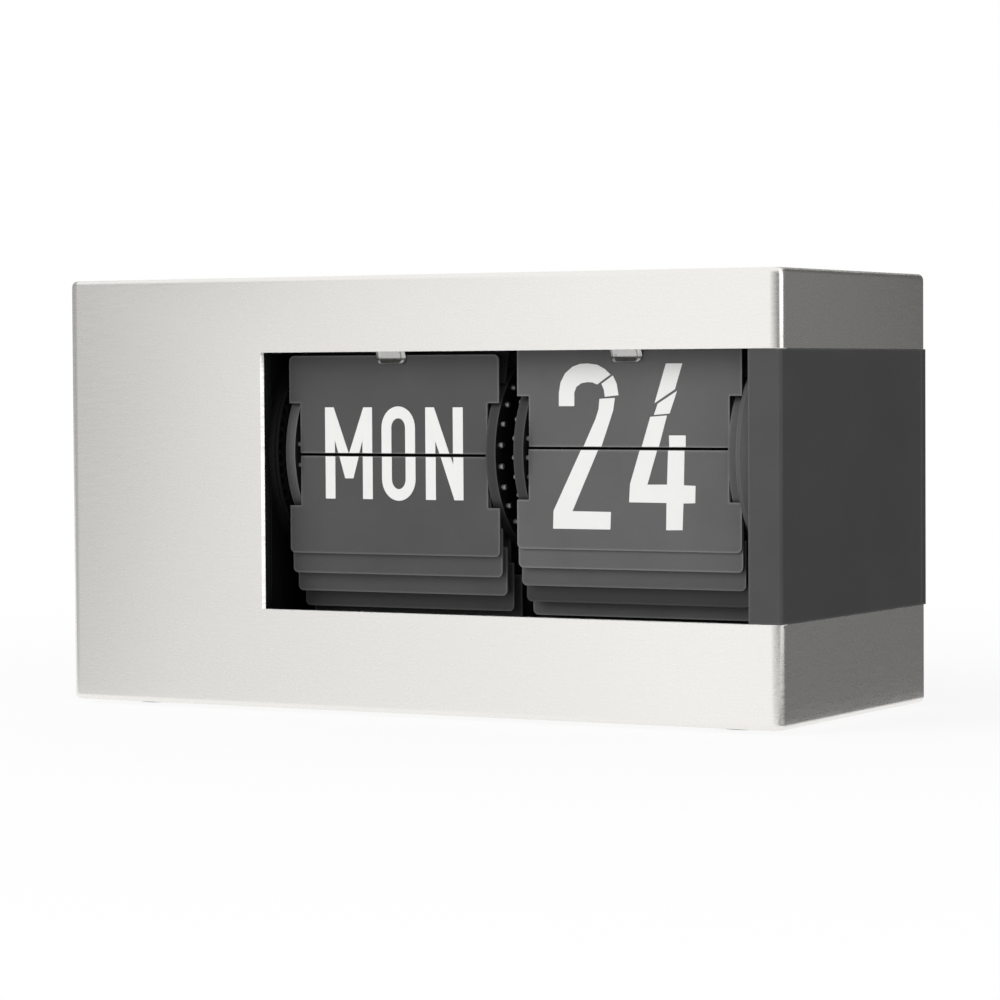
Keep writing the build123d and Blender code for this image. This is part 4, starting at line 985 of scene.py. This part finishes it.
def battery():
    jacket = [(0.0, 40.0), (11.6, 40.0), (11.8, 39.7), (12.5, 39.62), (13.0, 39.95), (13.1, 40.5),
              (13.1, 87.2), (13.0, 87.75), (12.5, 88.08), (11.8, 88.0), (11.6, 87.7), (0.0, 87.7)]
    piece = turned("battery_finished", jacket, 56, (24.0, 60.1, 0.0), "+Z", JACKET)
    hand_over(piece, "case", "battery_jacket", "battery")
    cap = [(0.0, 87.6), (11.4, 87.6), (11.4, 87.95), (4.0, 87.95), (2.95, 88.15), (2.75, 88.6),
           (2.75, 89.35), (2.5, 89.58), (0.0, 89.58)]
    foot = [(0.0, 39.72), (3.0, 39.62), (9.4, 39.62), (11.4, 39.85), (11.4, 40.1), (0.0, 40.1)]
    for name, profile in (("battery_cap", cap), ("battery_foot", foot)):
        end = turned(name, profile, 48, (24.0, 60.1, 0.0), "+Z", NICKEL)
        hand_over(end, "case", "contact_nickel")


def motor():
    can = [(0.0, 24.1), (3.0, 24.1), (3.2, 24.0), (6.0, 24.0), (6.2, 24.5), (8.4, 24.5),
           (8.85, 24.7), (9.0, 25.1), (9.0, 29.4), (8.85, 29.6), (9.0, 29.8), (9.0, 39.6),
           (8.8, 40.0), (0.0, 40.0)]
    piece = turned("motor_finished", can, 56, (0.0, 52.5, 24.0), "+X", MOTOR)
    hand_over(piece, "case", "motor_steel", "motor")


rubber_feet()
battery()
motor()


# Studio: white ground and background, soft light from the front, cards that the gloss shows

WORLD_LEVEL = 0.62
KEY_POWER = 26.0
FILL_POWER = 6.0
# Greys of the cards by heading: 0 in front, 90 to the left, -90 to the right.
SWEEP = [(14.0, 1.0), (26.0, 1.0), (29.0, 0.93), (32.0, 0.88), (34.5, 0.83), (36.0, 0.70),
         (37.5, 0.60), (41.0, 0.50), (62.0, 0.42)]
CARDS = {
    "left_card": [(50.0, 0.42), (130.0, 0.36)],
    "front_flag": [(-74.0, 0.26), (-50.0, 0.32), (-25.0, 0.55), (-5.0, 0.8), (8.0, 0.97)],
    "strip_light": [(-112.0, 1.7), (-79.0, 1.7), (-75.0, 0.5)],
    "rear_flag": [(-200.0, 0.12), (-160.0, 0.11), (-156.0, 0.12), (-151.0, 0.20), (-120.0, 0.20),
                  (-113.0, 0.25)],
}
CARD_DISTANCE = 1.5
CARD_HEIGHT = 1.3
SWEEP_DISTANCE = 2.9
SWEEP_HEIGHT = 1.4
# The sheets on the ground lie this high over it.
CARD_LIFT = 0.4 * MM
DARK_GROUND = 0.17
# How much the ground shines by itself, near the object and far off, and how far off both are.
GROUND_SHINE = (0.86, 1.0)
GROUND_FADE = (0.10, 0.40)
# The camera's place, in millimetres from the sleeve's corner.
EYE = (493.89, -680.25, 73.80)


def glow(name, level=None):
    """A plain material that shines at a given grey, or at the grey kept in the mesh."""
    material = bpy.data.materials.new(name)
    material.use_nodes = True
    nodes, links = material.node_tree.nodes, material.node_tree.links
    nodes.clear()
    light = nodes.new("ShaderNodeEmission")
    links.new(light.outputs[0], nodes.new("ShaderNodeOutputMaterial").inputs["Surface"])
    if level is None:
        kept = nodes.new("ShaderNodeAttribute")
        kept.attribute_name = "grey"
        links.new(kept.outputs["Fac"], light.inputs["Strength"])
    else:
        light.inputs["Strength"].default_value = level
    return material


def glossy_only(card):
    card.visible_camera = False
    card.visible_diffuse = False
    card.visible_shadow = False
    card.visible_transmission = False


def steps_between(greys, stride=4.0):
    """Headings and greys from the first to the last, evenly in between."""
    rows = []
    for (start, first), (end, last) in zip(greys, greys[1:]):
        count = max(1, round(abs(end - start) / stride))
        for k in range(count):
            rows.append((start + (end - start) * k / count, first + (last - first) * k / count))
    return rows + [greys[-1]]


def card(name, rows):
    """A bent sheet through rows of places, each row at one grey."""
    work = bmesh.new()
    level = work.verts.layers.float.new("grey")
    made = []
    for grey, spots in rows:
        line = [work.verts.new(spot) for spot in spots]
        for vert in line:
            vert[level] = grey
        made.append(line)
    for near, far in zip(made, made[1:]):
        for k in range(len(near) - 1):
            work.faces.new((near[k], far[k], far[k + 1], near[k + 1]))
    glossy_only(new_piece(name, plain_mesh(work, name), glow(name)))


def standing_card(name, greys):
    rows = []
    for heading, grey in steps_between(greys):
        turn = math.radians(heading)
        x, y = -math.sin(turn) * CARD_DISTANCE, -math.cos(turn) * CARD_DISTANCE
        rows.append((grey, [(x, y, 0.0), (x, y, CARD_HEIGHT)]))
    card(name, rows)


def sweep_card():
    """A grey sweep on the left, on the ground and up: the steel front shades off towards it."""
    rows = []
    eye = place(*EYE)
    front = CORNER.y
    for heading, grey in steps_between(SWEEP, 2.0):
        turn = math.radians(heading)
        ahead = Vector((-math.sin(turn), -math.cos(turn)))
        start = Vector((eye.x, 2.0 * front - eye.y))
        near = start + ahead * ((start.y - front + 0.004) / math.cos(turn))
        far = start + ahead * SWEEP_DISTANCE
        rows.append((grey, [(*near, CARD_LIFT), (*far, CARD_LIFT), (*far, SWEEP_HEIGHT)]))
    card("sweep_card", rows)


def dark_ground():
    """A dark sheet on the ground at the back right, which darkens the sleeve's right side."""
    work = bmesh.new()
    corners = ((0.092, -0.25), (3.0, -1.2), (3.0, 3.0), (-0.2, 3.0), (-0.2, 0.6), (0.092, 0.3))
    work.faces.new([work.verts.new((x, y, CARD_LIFT)) for x, y in corners])
    sheet = new_piece("dark_ground", plain_mesh(work, "dark_ground"),
                      glow("dark_ground", DARK_GROUND))
    glossy_only(sheet)


def seen_rays(nodes, links):
    """1 for what the camera, gloss or glass sees, 0 for what only lights the object."""
    rays = nodes.new("ShaderNodeLightPath")
    total = rays.outputs["Is Camera Ray"]
    for ray in ("Is Glossy Ray", "Is Transmission Ray"):
        either = nodes.new("ShaderNodeMath")
        either.operation = "MAXIMUM"
        links.new(total, either.inputs[0])
        links.new(rays.outputs[ray], either.inputs[1])
        total = either.outputs[0]
    return total


def studio_world():
    """White where it is seen, straight or in gloss, and a plain even light."""
    world = bpy.data.worlds.new("studio")
    bpy.context.scene.world = world
    world.use_nodes = True
    nodes, links = world.node_tree.nodes, world.node_tree.links
    nodes.clear()
    output = nodes.new("ShaderNodeOutputWorld")
    seen = seen_rays(nodes, links)
    levels = []
    for strength in (WORLD_LEVEL, 1.0):
        sky = nodes.new("ShaderNodeBackground")
        sky.inputs["Color"].default_value = (1.0, 1.0, 1.0, 1.0)
        sky.inputs["Strength"].default_value = strength
        levels.append(sky)
    blend = nodes.new("ShaderNodeMixShader")
    links.new(seen, blend.inputs[0])
    links.new(levels[0].outputs[0], blend.inputs[1])
    links.new(levels[1].outputs[0], blend.inputs[2])
    links.new(blend.outputs[0], output.inputs["Surface"])


def floor():
    """A white ground that keeps the shadow near the object and fades into the background."""
    work = bmesh.new()
    bmesh.ops.create_circle(work, cap_ends=True, segments=96, radius=6.0)
    mesh = plain_mesh(work, "floor")
    finish = Finish("floor_white", Roughness=0.9, Specular_IOR_Level=0.1)
    speck = finish.noise(900.0, 2.0, 0.5)
    finish.set("Base Color", finish.mix(finish.span(speck, 0.0, 1.0), (0.94,) * 3, (0.96,) * 3))
    seen = seen_rays(finish.nodes, finish.links)
    length = finish.nodes.new("ShaderNodeVectorMath")
    length.operation = "LENGTH"
    finish.links.new(finish.where, length.inputs[0])
    share = finish.span(length.outputs["Value"], *GROUND_SHINE, *GROUND_FADE)
    shine = finish.nodes.new("ShaderNodeEmission")
    blend = finish.nodes.new("ShaderNodeMixShader")
    finish.links.new(finish.math("MULTIPLY", seen, share), blend.inputs[0])
    finish.links.new(finish.shader.outputs[0], blend.inputs[1])
    finish.links.new(shine.outputs[0], blend.inputs[2])
    finish.links.new(blend.outputs[0], finish.surface)
    new_piece("floor", mesh, finish.material)


def lamp(name, spot, power, size):
    light = bpy.data.lights.new(name, "AREA")
    light.energy = power
    light.shape = "SQUARE"
    light.size = size
    lamp_object = bpy.data.objects.new(name, light)
    bpy.context.scene.collection.objects.link(lamp_object)
    lamp_object.location = spot
    aim = Vector((0.0, 0.0, 0.05)) - Vector(spot)
    lamp_object.rotation_euler = aim.to_track_quat("-Z", "Y").to_euler()
    lamp_object.visible_glossy = False
    lamp_object.visible_camera = False


def camera():
    """The photograph's view: place, turn and lens found from the sleeve's corners."""
    yaw, pitch, roll = 0.51113, -0.03477, -0.00558
    turn = Matrix.Rotation(yaw, 3, "Z") @ Matrix.Rotation(pitch, 3, "X")
    level_right, ahead, level_up = turn.transposed()
    right = math.cos(roll) * level_right + math.sin(roll) * level_up
    up = math.cos(roll) * level_up - math.sin(roll) * level_right
    lens = bpy.data.cameras.new("camera")
    lens.lens = 132.143
    lens.sensor_width = 36.0
    lens.clip_start = 0.01
    lens.clip_end = 50.0
    view = bpy.data.objects.new("camera", lens)
    bpy.context.scene.collection.objects.link(view)
    matrix = Matrix((right, up, -ahead)).transposed().to_4x4()
    matrix.translation = place(*EYE)
    view.matrix_world = matrix
    bpy.context.scene.camera = view


studio_world()
floor()
dark_ground()
sweep_card()
for name, greys in CARDS.items():
    standing_card(name, greys)
lamp("key", (-1.1, -1.7, 1.25), KEY_POWER, 1.3)
lamp("fill", (1.5, -1.4, 0.9), FILL_POWER, 1.2)
camera()
bpy.context.scene.view_settings.view_transform = "Standard"
